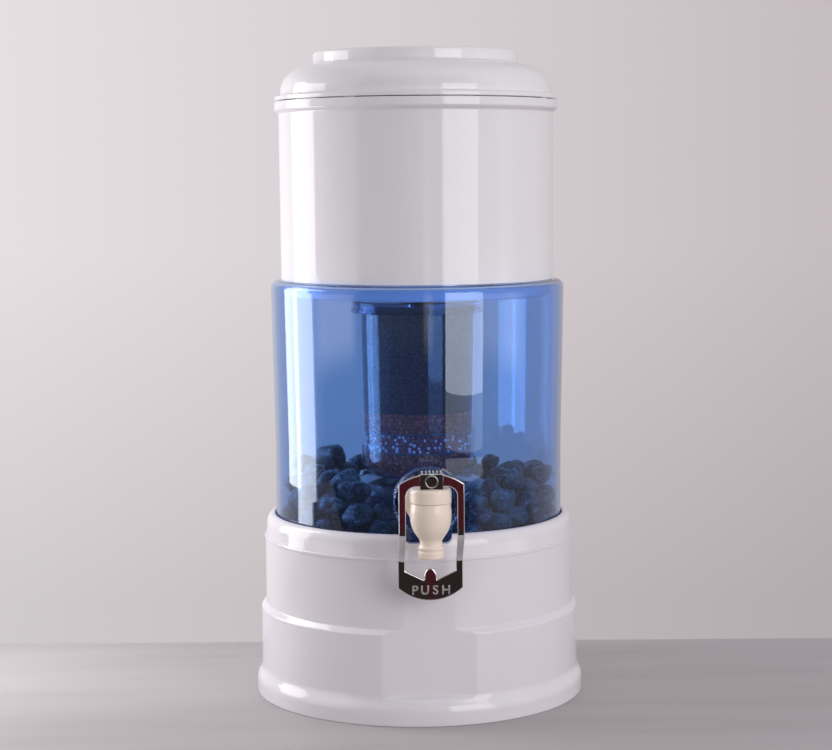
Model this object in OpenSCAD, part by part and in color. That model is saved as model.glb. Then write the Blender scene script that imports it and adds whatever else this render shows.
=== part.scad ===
// Gravity water filter with a tap: a base stand, a see-through lower tank with a
// push tap and mineral stones, an upper tank with a dome filter and a layered
// cartridge under its floor, and a lift-off lid.
// Millimetres. +Z is up, the tap faces -Y, and the origin is on the tanks' axis
// at the surface that the stand rests on.

/* [Base stand] */
// Height of the stand, to the top of its lip
base_h = 153; // [140:1:180]
// Depth of the seat that the lower tank stands in
seat_depth = 11; // [8:0.5:16]
// Radial gap between the lower tank and the lip
seat_gap = 0.7; // [0.4:0.1:1.5]
// Width of the lip, from its bore to the outside of the stand's body
lip_w = 9; // [7:0.5:14]
// How far the lower skirt stands out from the body
skirt_out = 3.9; // [2:0.1:8]
// How far the foot stands out from the skirt
foot_out = 4.5; // [2:0.5:8]
// Height of the step between skirt and body
skirt_h = 73; // [50:1:90]
// Height of the slope from skirt to body
skirt_slope_h = 4; // [2:0.5:8]
// Height of the foot's upright edge
foot_edge_h = 10; // [4:1:14]
// Height where the foot's flare meets the skirt
foot_h = 24; // [20:1:36]
// Wall thickness of the stand
base_wall = 3; // [2:0.5:4]
// How far the flat front panel is cut back from the body
panel_depth = 1.6; // [0.8:0.1:2.4]
// Distance of the bead below the top of the lip
bead_drop = 19.5; // [16:0.5:26]
// Height of the bead
bead_h = 2.4; // [1:0.2:4]
// How far the bead stands out
bead_out = 0.6; // [0.3:0.1:1.2]
// Width of the notch in the lip under the tap
notch_w = 38; // [24:1:50]
// Depth of the notch
notch_depth = 6.7; // [3:0.1:8]
// Corner radius of the notch
notch_r = 5.5; // [1:0.5:6]
// Number of ribs under the deck
rib_n = 8; // [4:1:12]
// Thickness of a rib
rib_t = 2.5; // [1.5:0.5:4]
// Depth of a rib
rib_h = 14; // [8:1:30]
// Radius of the rib hub
rib_hub_r = 20; // [14:1:40]

/* [Lower tank] */
// Outer radius of the lower tank at its foot
tank_r = 121.9; // [110:0.1:140]
// Height of the lower tank
tank_h = 209.4; // [200:0.1:240]
// How much wider the tank is at its shoulder than at its foot
tank_flare = 2.4; // [0:0.1:5]
// Height above the tank's underside where it starts to widen
tank_flare_z = 71; // [40:1:120]
// Wall thickness of the tank
tank_wall = 3; // [2:0.5:5]
// Thickness of the tank's floor
tank_floor = 3; // [2:0.5:5]
// Radius of the rounded shoulder
shoulder_r = 7; // [6:0.5:8]
// Radius of the rounded foot
tank_foot_r = 4; // [2:0.5:5]
// Radius of the round seat for the tap
boss_r = 27.5; // [22:0.5:32]
// How far the tap's seat stands out from the wall
boss_out = 1.1; // [0.6:0.1:3]
// How far the seat stands in from the wall
boss_in = 1.9; // [1.4:0.1:3]

/* [Stone tray] */
// Outer radius of the tray's foot
tray_r = 70; // [66:0.5:74]
// Radius of the tray's shoulder
tray_shoulder_r = 63; // [58:0.5:65]
// Height of the tray's shoulder
tray_shoulder_h = 27; // [20:0.5:28]
// Height of the tray
tray_h = 36; // [32:0.5:38]
// Radius of the tray's level top
tray_top_r = 46; // [36:0.5:50]
// Radius of the hole in the tray's top
tray_hole_r = 15; // [8:0.5:25]
// Wall thickness of the tray
tray_wall = 2; // [1.5:0.5:3]
// Number of drain slots in the tray's side
tray_slot_n = 12; // [6:1:18]
// Width of a drain slot
tray_slot_w = 5; // [3:0.5:8]

/* [Mineral stones] */
// Clearance round a stone
stone_gap = 0.4; // [0.2:0.1:1]
// Height of a stone in the lowest layer
stone_low_h = 28; // [20:1:30]
// Height of a stone in the second layer
stone_mid_h = 24; // [16:1:28]
// Height of a stone on top of the heap
stone_top_h = 15; // [10:1:20]
// Length of a stone round the ring
stone_l = 31; // [26:1:40]
// Angle each side of the tap over which the heap is one layer lower
heap_clear = 100; // [60:5:160]

/* [Upper tank] */
// Width of the lower tank's rim that shows round the upper tank
rim_w = 9.1; // [8.6:0.1:11]
// Width of the ledge that the upper tank rests on
ledge_w = 2.2; // [1.5:0.1:4]
// Radial gap between the plug and the lower tank's mouth
plug_gap = 0.4; // [0.3:0.1:1]
// Depth of the plug below the ledge
plug_depth = 13.4; // [8:0.2:20]
// Height of the upper tank above the ledge
upper_h = 149.1; // [140:0.1:200]
// How much wider the upper tank is under its collar
upper_flare = 0.7; // [0:0.1:3]
// Wall thickness of the upper tank
upper_wall = 3; // [2:0.5:5]
// Thickness of the upper tank's floor
upper_floor = 3; // [2:0.5:5]
// Height of the collar
collar_h = 8.8; // [6:0.2:14]
// How far the collar stands out from the wall
collar_out = 3.5; // [2:0.1:6]

/* [Lid] */
// Height of the vent gap between the lid and the collar
vent_gap = 0.8; // [0.4:0.1:2]
// Number of pads that keep the vent gap open
pad_n = 4; // [3:1:8]
// Angle of the first pad from the tap
pad_turn = 60; // [0:5:90]
// Width of a pad
pad_w = 8; // [4:1:14]
// Play between a pad and the tank's rim
pad_gap = 0.1; // [0.05:0.05:0.3]
// Height of the lid's lip
lip_h = 4.5; // [3:0.5:8]
// Height of the lid's dome above the lip
lid_dome_h = 25.9; // [20:0.1:36]
// Radius of the raised grip on the lid
grip_r = 86.3; // [70:0.1:92]
// Height of the raised grip
grip_h = 9.9; // [8:0.1:20]
// Edge radius of the raised grip
grip_round = 3; // [1:0.5:4]
// Wall thickness of the lid
lid_wall = 2.5; // [2:0.1:3.5]
// Depth of the ring that locates the lid in the tank
spigot_h = 8; // [5:0.5:14]
// Radial gap between that ring and the tank
spigot_gap = 0.5; // [0.3:0.1:1.5]

/* [Dome filter] */
// Outer radius of the ceramic dome
dome_r = 46; // [36:0.5:60]
// Height of the ceramic dome
dome_h = 92; // [80:1:100]
// Wall thickness of the ceramic
dome_wall = 8; // [5:0.5:10]
// Height of the plastic base under the dome
dome_base_h = 8; // [6:0.5:12]
// How far that base stands out from the dome
dome_base_out = 3; // [2:0.5:5]
// Radius of the threaded stem
stem_r = 6; // [5:0.5:8]
// Radius of the bore in the stem
stem_bore_r = 3; // [2:0.5:3.5]
// Thickness of the washers on the stem
washer_t = 2; // [1:0.5:3]
// Radius of the washers on the stem
washer_r = 14; // [11:0.5:18]
// Radial clearance of a screwed or sliding fit
fit_gap = 0.05; // [0.03:0.01:0.09]

/* [Cartridge] */
// Wall thickness of the cap's skirt round the cup
cap_skirt_t = 4.75; // [3:0.25:7]
// How far the cap's lip stands out
cap_lip_out = 1.5; // [1:0.1:3]
// Height of the cap
cap_h = 9.8; // [8:0.2:14]
// Height of the cap's lip
cap_lip_h = 3.4; // [2:0.2:5]
// Wall thickness of the cap
cap_wall = 3; // [2:0.5:4]
// Height of the neck on the cap
neck_h = 2.6; // [2:0.2:6]
// Outer radius of the cup at its top
cup_r = 50.5; // [44:0.1:51]
// How much narrower the cup is at its foot
cup_taper = 2.8; // [0:0.1:6]
// Clearance between the cup's foot and the stone tray
cup_clear = 3; // [1:0.5:10]
// Wall thickness of the cup
cup_wall = 2; // [1.5:0.5:3]
// Radius of the cup's rounded foot
cup_foot_r = 14; // [8:1:18]
// Thickness of the ring seal under the cap
cap_seal_t = 1; // [0.6:0.2:2]
// Clearance between a bed and the cup
bed_gap = 0.2; // [0.1:0.1:0.5]
// Thickness of the outlet screen
screen_t = 1.5; // [1:0.5:3]
// Height of the lower bed of red ceramic balls
low_balls_h = 18.5; // [16:0.5:24]
// Height of the bed of white mineral balls
white_balls_h = 15.2; // [10:0.2:20]
// Height of the upper bed of red ceramic balls
high_balls_h = 16.4; // [10:0.2:24]
// Thickness of the felts between the beds
felt_t = 1.2; // [0.8:0.2:3]
// Thickness of the inlet felt
inlet_felt_t = 3; // [2:0.5:5]
// Number of outlet holes in the cup's floor
outlet_n = 10; // [6:1:14]
// Radius of an outlet hole
outlet_r = 2; // [1:0.5:2.5]

/* [Tap] */
// Height of the tap's axis above the tank's underside
tap_rise = 37.4; // [36:0.2:60]
// Distance of the barrel's axis from the tap's seat
tap_reach = 37; // [34:0.5:45]
// Radius of the tap's flange
flange_r = 18.5; // [15:0.5:22]
// Thickness of the flange
flange_t = 3.5; // [2:0.5:5]
// Radius of the arm between flange and barrel
arm_r = 9; // [8:0.5:11]
// Radial gap between the bonnet's skirt and the step in the arm
arm_step = 0.4; // [0.2:0.1:1]
// Radius of the threaded shank
shank_r = 8; // [7:0.5:8.5]
// Radius of the water way through the shank
water_r = 4; // [3:0.25:4.25]
// Thickness of the tap's rubber washers
tap_washer_t = 2; // [1:0.5:3]
// Radius of the inner washer
tap_washer_r = 14; // [12:0.5:16]
// Thickness of the nut
nut_t = 7; // [5:0.5:9]
// Width of the nut across its flats
nut_af = 24; // [20:1:27]
// Length of shank past the nut
shank_end = 2; // [1:0.5:4]
// Radius of the barrel at its widest
barrel_r = 16.4; // [16:0.1:18]
// Radius of the barrel's neck
throat_r = 8.75; // [8:0.25:10]
// Radius of the ring round the outlet
outlet_ring_r = 10.2; // [9.5:0.1:12]
// Radius of the outlet
spout_r = 5; // [4:0.5:6]
// Height from the outlet's mouth to the valve seat
seat_h = 25.3; // [24:0.1:27]
// Height from the tap's axis down to the outlet's mouth
spout_drop = 38.7; // [37:0.1:42]
// Radius of the valve chamber
chamber_r = 11; // [10:0.5:11.5]
// Outer radius of the bonnet
bonnet_r = 16.35; // [15.5:0.05:18]
// Height of the bonnet
bonnet_h = 11.5; // [10:0.5:14]
// Height of the bonnet's underside above the tap's axis
bonnet_z = 5.4; // [5:0.1:8]
// Thickness of the bonnet's top
bonnet_t = 3; // [2:0.5:4]
// Outer radius of the thread under the bonnet
thread_r = 13.5; // [13:0.5:14]
// Thickness of the gasket under the bonnet
gasket_t = 1; // [0.6:0.2:2]
// Radius of the valve stem
rod_r = 3; // [2.5:0.25:4]
// Radius of the valve stem's foot
rod_foot_r = 7.3; // [6.5:0.1:8]
// Thickness of the valve stem's foot
rod_foot_t = 2; // [1.5:0.5:3]
// Thickness of the rubber valve seal
seal_t = 4; // [3:0.5:6]
// Mean radius of the spring
spring_r = 5.5; // [4.5:0.25:6.5]
// Radius of the spring's wire
wire_r = 0.5; // [0.4:0.05:0.7]
// Number of turns of the spring
spring_turns = 6; // [4:1:8]

/* [Lever] */
// Width of the lever's loop
lever_w = 51; // [46:0.5:56]
// Width of one arm of the loop
lever_arm_w = 5.7; // [4:0.1:6.5]
// Thickness of the lever's plate
lever_t = 2.5; // [2:0.1:3]
// Height of the loop's top above the bonnet
lever_top = 12.7; // [11:0.1:16]
// Drop of the loop's top edge at its corners
lever_top_drop = 8.2; // [4:0.2:12]
// Depth of the loop's foot below the outlet's mouth
lever_foot = 35.2; // [30:0.2:42]
// Rise of the loop's lower edge at its corners
lever_foot_rise = 10.1; // [6:0.1:14]
// Height of the push plate between its lower edge and the window
push_h = 15.7; // [12:0.1:20]
// Rise of the window's lower edge at its corners
window_rise = 8.4; // [4:0.2:12]
// Corner radius at the top of the window
window_r = 8; // [4:0.5:12]
// Height of the window's top above the bonnet
window_top = 2.5; // [1.5:0.1:4]
// Width of the tongue on the push plate
tongue_w = 8.8; // [6:0.2:12]
// Height of the tongue
tongue_h = 10; // [6:0.5:11]
// Distance of the loop's upper part in front of the barrel's axis
lever_front = 12; // [10:0.5:13]
// How far the push plate is set back from the upper part
lever_setback = 18; // [14:0.5:19]
// Depth below the bonnet's top where the loop starts to bend back
bend_top = 36.2; // [30:0.2:40]
// Height of the bend
bend_h = 21.9; // [16:0.1:24]
// Width of the saddle over the bonnet
saddle_w = 17; // [14:0.5:20]
// Length of the saddle
saddle_l = 26; // [22:0.5:30]
// Number of thumb ribs on the saddle
thumb_n = 6; // [4:1:8]
// Width of a thumb rib
thumb_w = 1.4; // [1:0.1:1.8]
// Height of a thumb rib
thumb_h = 2; // [1:0.2:3]
// Height of the lever's pin above the bonnet
pin_rise = 6.7; // [6:0.1:8]
// Radius of the pin
pin_r = 1.5; // [1:0.1:1.8]
// Radius of the plain ring on the lever's front
ring_r = 5.2; // [4:0.1:5.8]
// Width of that ring
ring_w = 0.9; // [0.6:0.1:1.4]
// Height of that ring
ring_t = 0.4; // [0.2:0.1:0.6]
// Running gap between the saddle and the bonnet
saddle_gap = 0.05; // [0.02:0.01:0.1]

/* [Hidden] */
$fn = 96;
tiny = 0.01;

// Levels, from the table up
deck_z = base_h - seat_depth;
tank_in_z = deck_z + tank_floor;
ledge_z = deck_z + tank_h;
plug_z = ledge_z - plug_depth;
upper_in_z = plug_z + upper_floor;
rim_z = ledge_z + upper_h;
lid_z = rim_z + vent_gap;
lip_top_z = lid_z + lip_h;
grip_z = lip_top_z + lid_dome_h;
tap_z = deck_z + tap_rise;

// Radii, from the lower tank in and out
lip_r = tank_r + seat_gap;
body_r = lip_r + lip_w;
skirt_r = body_r + skirt_out;
foot_r = skirt_r + foot_out;
panel_y = body_r - panel_depth;
shoulder_out_r = tank_r + tank_flare;
upper_r = shoulder_out_r - rim_w;
plug_r = upper_r - ledge_w;
mouth_r = plug_r + plug_gap;
upper_top_r = upper_r + upper_flare;
collar_r = upper_top_r + collar_out;
upper_mouth_r = upper_top_r - upper_wall;

// Cartridge levels, hung from the upper tank's floor
cap_top_z = plug_z - washer_t - neck_h;
cap_in_r = cup_r + fit_gap;
cap_r = cap_in_r + cap_skirt_t;
cap_z = cap_top_z - cap_h;
cup_top_z = cap_top_z - cap_wall - cap_seal_t;
cup_z = tank_in_z + tray_h + cup_clear;
cup_h = cup_top_z - cup_z;
cup_in_z = cup_z + cup_wall;
low_balls_z = cup_in_z + screen_t;
low_felt_z = low_balls_z + low_balls_h;
white_balls_z = low_felt_z + felt_t;
high_felt_z = white_balls_z + white_balls_h;
high_balls_z = high_felt_z + felt_t;
carbon_z = high_balls_z + high_balls_h;
inlet_felt_z = cup_top_z - inlet_felt_t;
socket_r = stem_r + fit_gap;
socket_out_r = socket_r + cap_wall;

// Tap places
seat_y = tank_r + boss_out;
seat_in_y = tank_r - tank_wall - boss_in;
flange_y = seat_y + tap_washer_t;
barrel_y = seat_y + tap_reach;
spout_z = tap_z - spout_drop;
valve_z = spout_z + seat_h;
bonnet_low_z = tap_z + bonnet_z;
bonnet_top_z = bonnet_low_z + bonnet_h;
ceiling_z = bonnet_top_z - bonnet_t;
thread_top_z = ceiling_z - gasket_t;
pin_z = bonnet_top_z + pin_rise;
rod_z = valve_z + seal_t;
nut_y = seat_in_y - tap_washer_t;
shank_end_y = nut_y - nut_t - shank_end;

function arc(c, r, from, to, n = 6) =
    [for (i = [0:n]) let (a = from + (to - from) * i / n)
        [c[0] + r * cos(a), c[1] + r * sin(a)]];

function curve(a, b, c, d, n = 8) =
    [for (i = [0:n]) let (t = i / n, s = 1 - t)
        s * s * s * a + 3 * s * s * t * b + 3 * s * t * t * c + t * t * t * d];

// A 2D outline drawn over X and Z, given a thickness along Y from y to y + t
module upright(y, t) {
    translate([0, y + t, 0]) rotate([90, 0, 0]) linear_extrude(t) children();
}

module rod_y(r, from, to, z) {
    translate([0, to, z]) rotate([90, 0, 0]) cylinder(r = r, h = to - from);
}

module disc(r, z, h, hole = 0) {
    translate([0, 0, z]) difference() {
        cylinder(r = r, h = h);
        if (hole > 0) translate([0, 0, -1]) cylinder(r = hole, h = h + 2);
    }
}

// ---- Base stand ----

module base_outside() {
    bead_z = base_h - bead_drop;
    rotate_extrude() polygon(concat(
        [[0, 0], [foot_r, 0]],
        curve([foot_r, foot_edge_h], [foot_r, foot_edge_h + 6],
            [skirt_r + 0.5, foot_h - 6], [skirt_r, foot_h]),
        [[skirt_r, skirt_h], [body_r, skirt_h + skirt_slope_h],
            [body_r, bead_z - bead_h / 2], [body_r + bead_out, bead_z - bead_h / 2],
            [body_r + bead_out, bead_z + bead_h / 2], [body_r - 0.9, bead_z + bead_h / 2]],
        curve([body_r - 1.4, base_h - 10], [body_r - 1.6, base_h - 3],
            [lip_r + 4.5, base_h], [lip_r + 1, base_h]),
        [[0, base_h]]));
}

module base_inside() {
    under_z = deck_z - base_wall;
    difference() {
        rotate_extrude() polygon([[0, -1], [foot_r - base_wall, -1],
            [foot_r - base_wall, foot_edge_h], [skirt_r - base_wall, foot_h],
            [skirt_r - base_wall, skirt_h - 1],
            [body_r - base_wall, skirt_h + skirt_slope_h - 1],
            [body_r - base_wall, under_z], [0, under_z]]);
        translate([-foot_r, -foot_r - panel_y + base_wall, foot_h - 4])
            cube([2 * foot_r, foot_r, base_h]);
    }
}

module notch() {
    low = base_h - notch_depth;
    upright(-body_r - 2, body_r - lip_r + 4) {
        translate([-notch_w / 2, low + notch_r]) square([notch_w, base_h]);
        translate([-notch_w / 2 + notch_r, low]) square([notch_w - 2 * notch_r, base_h]);
        for (side = [-1, 1])
            translate([side * (notch_w / 2 - notch_r), low + notch_r]) circle(notch_r);
    }
}

module deck_ribs() {
    rib_z = deck_z - base_wall - rib_h;
    for (i = [0:rib_n - 1]) rotate(360 * (i + 0.5) / rib_n)
        translate([rib_hub_r - rib_t / 2, -rib_t / 2, rib_z])
            cube([body_r - base_wall / 2 - rib_hub_r, rib_t, rib_h + 1]);
    disc(rib_hub_r, rib_z, rib_h + 1, rib_hub_r - rib_t);
}

module base_stand() {
    panel_low = foot_h - 2;
    color("white") union() {
        difference() {
            base_outside();
            base_inside();
            disc(lip_r, deck_z, seat_depth + 1);
            notch();
            translate([-foot_r, -foot_r - panel_y, panel_low])
                cube([2 * foot_r, foot_r, base_h - bead_drop - bead_h - panel_low]);
        }
        deck_ribs();
    }
}

// ---- Lower tank ----

module tank_shell() {
    c = [shoulder_out_r - shoulder_r, ledge_z - shoulder_r];
    rotate_extrude() polygon(concat(
        [[0, deck_z]],
        arc([tank_r - tank_foot_r, deck_z + tank_foot_r], tank_foot_r, -90, 0),
        [[tank_r, deck_z + tank_flare_z]],
        arc(c, shoulder_r, 0, 90),
        [[mouth_r, ledge_z], [mouth_r, ledge_z - tank_wall]],
        arc(c, shoulder_r - tank_wall, 90, 0),
        [[tank_r - tank_wall, deck_z + tank_flare_z], [tank_r - tank_wall, tank_in_z + 1],
            [tank_r - tank_wall - 1, tank_in_z], [0, tank_in_z]]));
}

module lower_tank() {
    color("royalblue", 0.5) difference() {
        union() {
            tank_shell();
            rod_y(boss_r, -seat_y, -seat_in_y, tap_z);
        }
        rod_y(shank_r + 0.3, -seat_y - 1, -seat_in_y + 5, tap_z);
    }
}

// ---- Stone tray ----

module tray_solid(wall) {
    foot = tray_r - wall;
    side = tray_shoulder_r - wall;
    top = tray_h - wall;
    translate([0, 0, tank_in_z]) rotate_extrude() polygon(concat(
        [[0, -wall / 2], [foot, -wall / 2], [foot, 0]],
        curve([side, tray_shoulder_h - wall], [side - 2, top - 4 + wall],
            [tray_top_r + 6 - wall, top], [tray_top_r - wall, top]),
        [[0, top]]));
}

module stone_tray() {
    color("lightblue", 0.5) difference() {
        intersection() {
            tray_solid(0);
            disc(tray_r, tank_in_z, tray_h);
        }
        tray_solid(tray_wall);
        disc(tray_hole_r, tank_in_z, tray_h + 1);
        for (i = [0:tray_slot_n - 1]) rotate(360 * i / tray_slot_n)
            translate([tray_shoulder_r - 8, -tray_slot_w / 2, tank_in_z + 5])
                cube([20, tray_slot_w, tray_shoulder_h - 12]);
    }
}

// ---- Mineral stones ----

// A rough pebble on its flat foot: three rings of corners, half sizes p and q
module pebble(p, q, h, seed) {
    n = 7;
    rings = [[0.7, 0], [1, 0.45], [0.6, 1]];
    points = [for (r = rings, i = [0:n - 1])
        let (a = 360 * i / n + 40 * seed, rough = 1 - 0.12 * abs(sin(137 * (i + seed))))
            [p * r[0] * rough * cos(a), q * r[0] * rough * sin(a), h * r[1]]];
    sides = [for (k = [0:1], i = [0:n - 1], half = [0, 1])
        let (a = k * n + i, b = k * n + (i + 1) % n)
            half == 0 ? [a, b + n, b] : [a, a + n, b + n]];
    polyhedron(concat(points), concat([[for (i = [0:n - 1]) i]], sides,
        [[for (i = [n - 1:-1:0]) 2 * n + i]]));
}

// n stones round a ring, left out within clear degrees of the tap
module stone_ring(n, r, half, z, h, clear) {
    q = r * sin(180 / n) - stone_gap;
    for (i = [0:n - 1]) {
        a = 360 * i / n;
        from_tap = abs((a + 90 + 180) % 360 - 180);
        if (from_tap > clear) rotate(a)
            translate([r, 0, z]) pebble(half, q, h, i + z);
    }
}

module mineral_stones() {
    in_r = tray_r + stone_gap;
    out_r = tank_r - tank_wall - stone_gap;
    half = (out_r - in_r) / 4 - stone_gap;
    middle = (in_r + out_r) / 2;
    in_row_r = in_r + half + stone_gap;
    out_row_r = out_r - half - stone_gap;
    in_n = floor(2 * PI * in_row_r / (stone_l + stone_gap));
    out_n = floor(2 * PI * out_row_r / (stone_l + stone_gap));
    mid_z = tank_in_z + stone_low_h + stone_gap;
    top_z = mid_z + stone_mid_h + stone_gap;
    nut_clear = asin((nut_af * 0.6 + stone_l / 2) / middle);
    color("darkslategray") {
        stone_ring(in_n, in_row_r, half, tank_in_z, stone_low_h, 0);
        stone_ring(out_n, out_row_r, half, tank_in_z, stone_low_h, nut_clear);
        stone_ring(out_n, middle, half * 1.4, mid_z, stone_mid_h, nut_clear);
        stone_ring(out_n, middle, half, top_z, stone_top_h, heap_clear);
    }
}

// ---- Tap ----

module barrel_outside() {
    bulge = barrel_r - 1;
    translate([0, -barrel_y, 0]) rotate_extrude() polygon(concat(
        [[0, spout_z]],
        arc([outlet_ring_r - 1.5, spout_z + 1.5], 1.5, -90, 0),
        arc([outlet_ring_r - 1.5, spout_z + 4.6], 1.5, 0, 60),
        arc([outlet_ring_r - 1.6, spout_z + 8.4], 1.6, -60, 60),
        curve([throat_r, spout_z + 11], [throat_r, spout_z + 14],
            [throat_r, spout_z + 15], [throat_r, spout_z + 16.5], 3),
        curve([throat_r + 0.1, spout_z + 17], [throat_r + 0.3, spout_z + 22],
            [barrel_r, spout_z + 25], [barrel_r, tap_z - 3.4], 10),
        curve([barrel_r, tap_z - 2.4], [barrel_r, tap_z + 1],
            [bulge, bonnet_low_z - 2], [bulge, bonnet_low_z - 0.2], 4),
        [[thread_r, bonnet_low_z - 0.2], [thread_r, thread_top_z], [0, thread_top_z]]));
}

module barrel_inside() {
    pocket_r = rod_foot_r + 0.9;
    pocket_z = valve_z + seal_t + 1;
    translate([0, -barrel_y, 0]) rotate_extrude() polygon([[0, spout_z - 1],
        [spout_r, spout_z - 1], [spout_r, valve_z], [pocket_r, valve_z],
        [pocket_r, pocket_z], [chamber_r, pocket_z + 4], [chamber_r, thread_top_z + 1],
        [0, thread_top_z + 1]]);
}

// The arm from the flange, stepped down where the bonnet's skirt turns over it
module tap_arm() {
    difference() {
        rod_y(arm_r, -barrel_y, -flange_y, tap_z);
        translate([0, -barrel_y, 0])
            disc(bonnet_r + arm_step, bonnet_low_z - 0.2, arm_r + bonnet_h);
    }
}

module tap_body() {
    color("ivory") difference() {
        union() {
            barrel_outside();
            tap_arm();
            rod_y(flange_r, -flange_y - flange_t, -flange_y, tap_z);
            rod_y(shank_r, -flange_y, -shank_end_y, tap_z);
        }
        barrel_inside();
        rod_y(water_r, -barrel_y, -shank_end_y + 1, tap_z);
    }
}

module tap_bonnet() {
    round_r = 1.6;
    color("ivory") translate([0, -barrel_y, 0]) rotate_extrude() polygon(concat(
        [[rod_r + fit_gap, ceiling_z], [thread_r + fit_gap, ceiling_z],
            [thread_r + fit_gap, bonnet_low_z]],
        arc([bonnet_r - 1, bonnet_low_z + 1], 1, -90, 0, 4),
        arc([bonnet_r - round_r, bonnet_top_z - round_r], round_r, 0, 90, 5),
        [[rod_r + fit_gap, bonnet_top_z]]));
}

module bonnet_gasket() {
    color("dimgray") translate([0, -barrel_y, 0])
        disc(thread_r - 0.2, thread_top_z, gasket_t, rod_r + fit_gap);
}

module tap_washer(y) {
    color("dimgray") difference() {
        rod_y(tap_washer_r, y, y + tap_washer_t, tap_z);
        rod_y(shank_r + fit_gap, y - 1, y + tap_washer_t + 1, tap_z);
    }
}

module tap_outer_washer() tap_washer(-flange_y);

module tap_inner_washer() tap_washer(-seat_in_y);

module tap_nut() {
    color("ivory") translate([0, -nut_y + nut_t, tap_z]) rotate([90, 0, 0])
        difference() {
            cylinder(r = nut_af / 2 / cos(30), h = nut_t, $fn = 6);
            translate([0, 0, -1]) cylinder(r = shank_r + fit_gap, h = nut_t + 2);
        }
}

module valve_stem() {
    nub_r = rod_r * 0.7;
    top_z = pin_z + rod_r;
    color("silver") translate([0, -barrel_y, 0]) difference() {
        union() {
            disc(nub_r, rod_z - seal_t / 2, seal_t / 2 + 1);
            disc(rod_foot_r, rod_z, rod_foot_t);
            disc(rod_r, rod_z, top_z - rod_z);
        }
        translate([-rod_r - 1, 0, pin_z]) rotate([0, 90, 0])
            cylinder(r = pin_r + 0.02, h = 2 * rod_r + 2);
    }
}

module valve_seal() {
    hole_r = rod_r * 0.7 + fit_gap;
    color("dimgray") translate([0, -barrel_y, 0]) rotate_extrude() polygon([
        [0, valve_z], [rod_foot_r, valve_z], [rod_foot_r, rod_z], [hole_r, rod_z],
        [hole_r, rod_z - seal_t / 2], [0, rod_z - seal_t / 2]]);
}

// A coil with a flat turn at each end: height follows the turn, eased at both ends
module valve_spring() {
    low = rod_z + rod_foot_t + wire_r;
    high = thread_top_z - wire_r;
    steps = 16 * spring_turns;
    corners = 6;
    function rise(t) = min(1, max(0, (t * spring_turns - 1) / (spring_turns - 2)));
    function lift(t) = low + (high - low - 4 * wire_r) * rise(t)
        + 2 * wire_r * min(1, t * spring_turns)
        + 2 * wire_r * max(0, min(1, t * spring_turns - spring_turns + 1));
    points = [for (i = [0:steps], k = [0:corners - 1])
        let (t = i / steps, a = 360 * spring_turns * t, b = 360 * k / corners,
            r = spring_r + wire_r * cos(b))
            [r * cos(a), r * sin(a), lift(t) + wire_r * sin(b)]];
    sides = [for (i = [0:steps - 1], k = [0:corners - 1], half = [0, 1])
        let (a = i * corners + k, b = i * corners + (k + 1) % corners)
            half == 0 ? [a, b, b + corners] : [a, b + corners, a + corners]];
    color("silver") translate([0, -barrel_y, 0]) polyhedron(points, concat(
        [[for (k = [corners - 1:-1:0]) k]], sides,
        [[for (k = [0:corners - 1]) steps * corners + k]]));
}

// ---- Lever ----

module lever_pin() {
    color("silver") translate([-saddle_w / 2, -barrel_y, pin_z]) rotate([0, 90, 0])
        cylinder(r = pin_r, h = saddle_w);
}

// Radius of an arc over a chord of half width w, rising by s
function bow(w, s) = (w * w + s * s) / (2 * s);

module loop_outline() {
    half = lever_w / 2;
    top = bonnet_top_z + lever_top;
    foot = spout_z - lever_foot;
    middle = (top + foot) / 2;
    top_r = bow(half, lever_top_drop);
    foot_bow_r = bow(half, lever_foot_rise);
    intersection() {
        translate([-half, middle]) square([lever_w, top]);
        translate([0, top - top_r]) circle(top_r);
    }
    intersection() {
        translate([-half, foot - 1]) square([lever_w, middle - foot + 1 + tiny]);
        translate([0, foot + foot_bow_r]) circle(foot_bow_r);
    }
    // the straight arms, where the two bows fall short of the sides
    translate([-half, foot + lever_foot_rise])
        square([lever_w, top - foot - lever_top_drop - lever_foot_rise]);
}

module loop_window() {
    half = lever_w / 2 - lever_arm_w;
    low = spout_z - lever_foot + push_h;
    high = bonnet_top_z + window_top;
    tongue_z = low + tongue_h - tongue_w / 2;
    difference() {
        union() {
            polygon([[0, low], [half, low + window_rise], [half, high - window_r],
                [-half, high - window_r], [-half, low + window_rise]]);
            translate([-half + window_r, high - window_r - tiny])
                square([2 * (half - window_r), window_r + tiny]);
            for (side = [-1, 1])
                translate([side * (half - window_r), high - window_r]) circle(window_r);
        }
        translate([0, tongue_z]) circle(tongue_w / 2);
        translate([-tongue_w / 2, low - 1]) square([tongue_w, tongue_z - low + 1]);
    }
}

// The loop's side view: straight down, bent back under the bonnet, straight down
module bent_strip() {
    front = -lever_front;
    back = front + lever_setback;
    high = bonnet_top_z - bend_top;
    low = high - bend_h;
    corner = lever_t * tan(atan(lever_setback / bend_h) / 2);
    top = bonnet_top_z + lever_top + 1;
    foot = spout_z - lever_foot - 1;
    translate([-lever_w, -barrel_y, 0]) rotate([90, 0, 90]) linear_extrude(2 * lever_w)
        polygon([[front, top], [front, high], [back, low], [back, foot],
            [back + lever_t, foot], [back + lever_t, low + corner],
            [front + lever_t, high + corner], [front + lever_t, top]]);
}

module lever_loop() {
    intersection() {
        bent_strip();
        upright(-barrel_y - 2 * lever_front, 3 * lever_front + lever_setback)
            difference() {
                loop_outline();
                loop_window();
            }
    }
}

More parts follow.
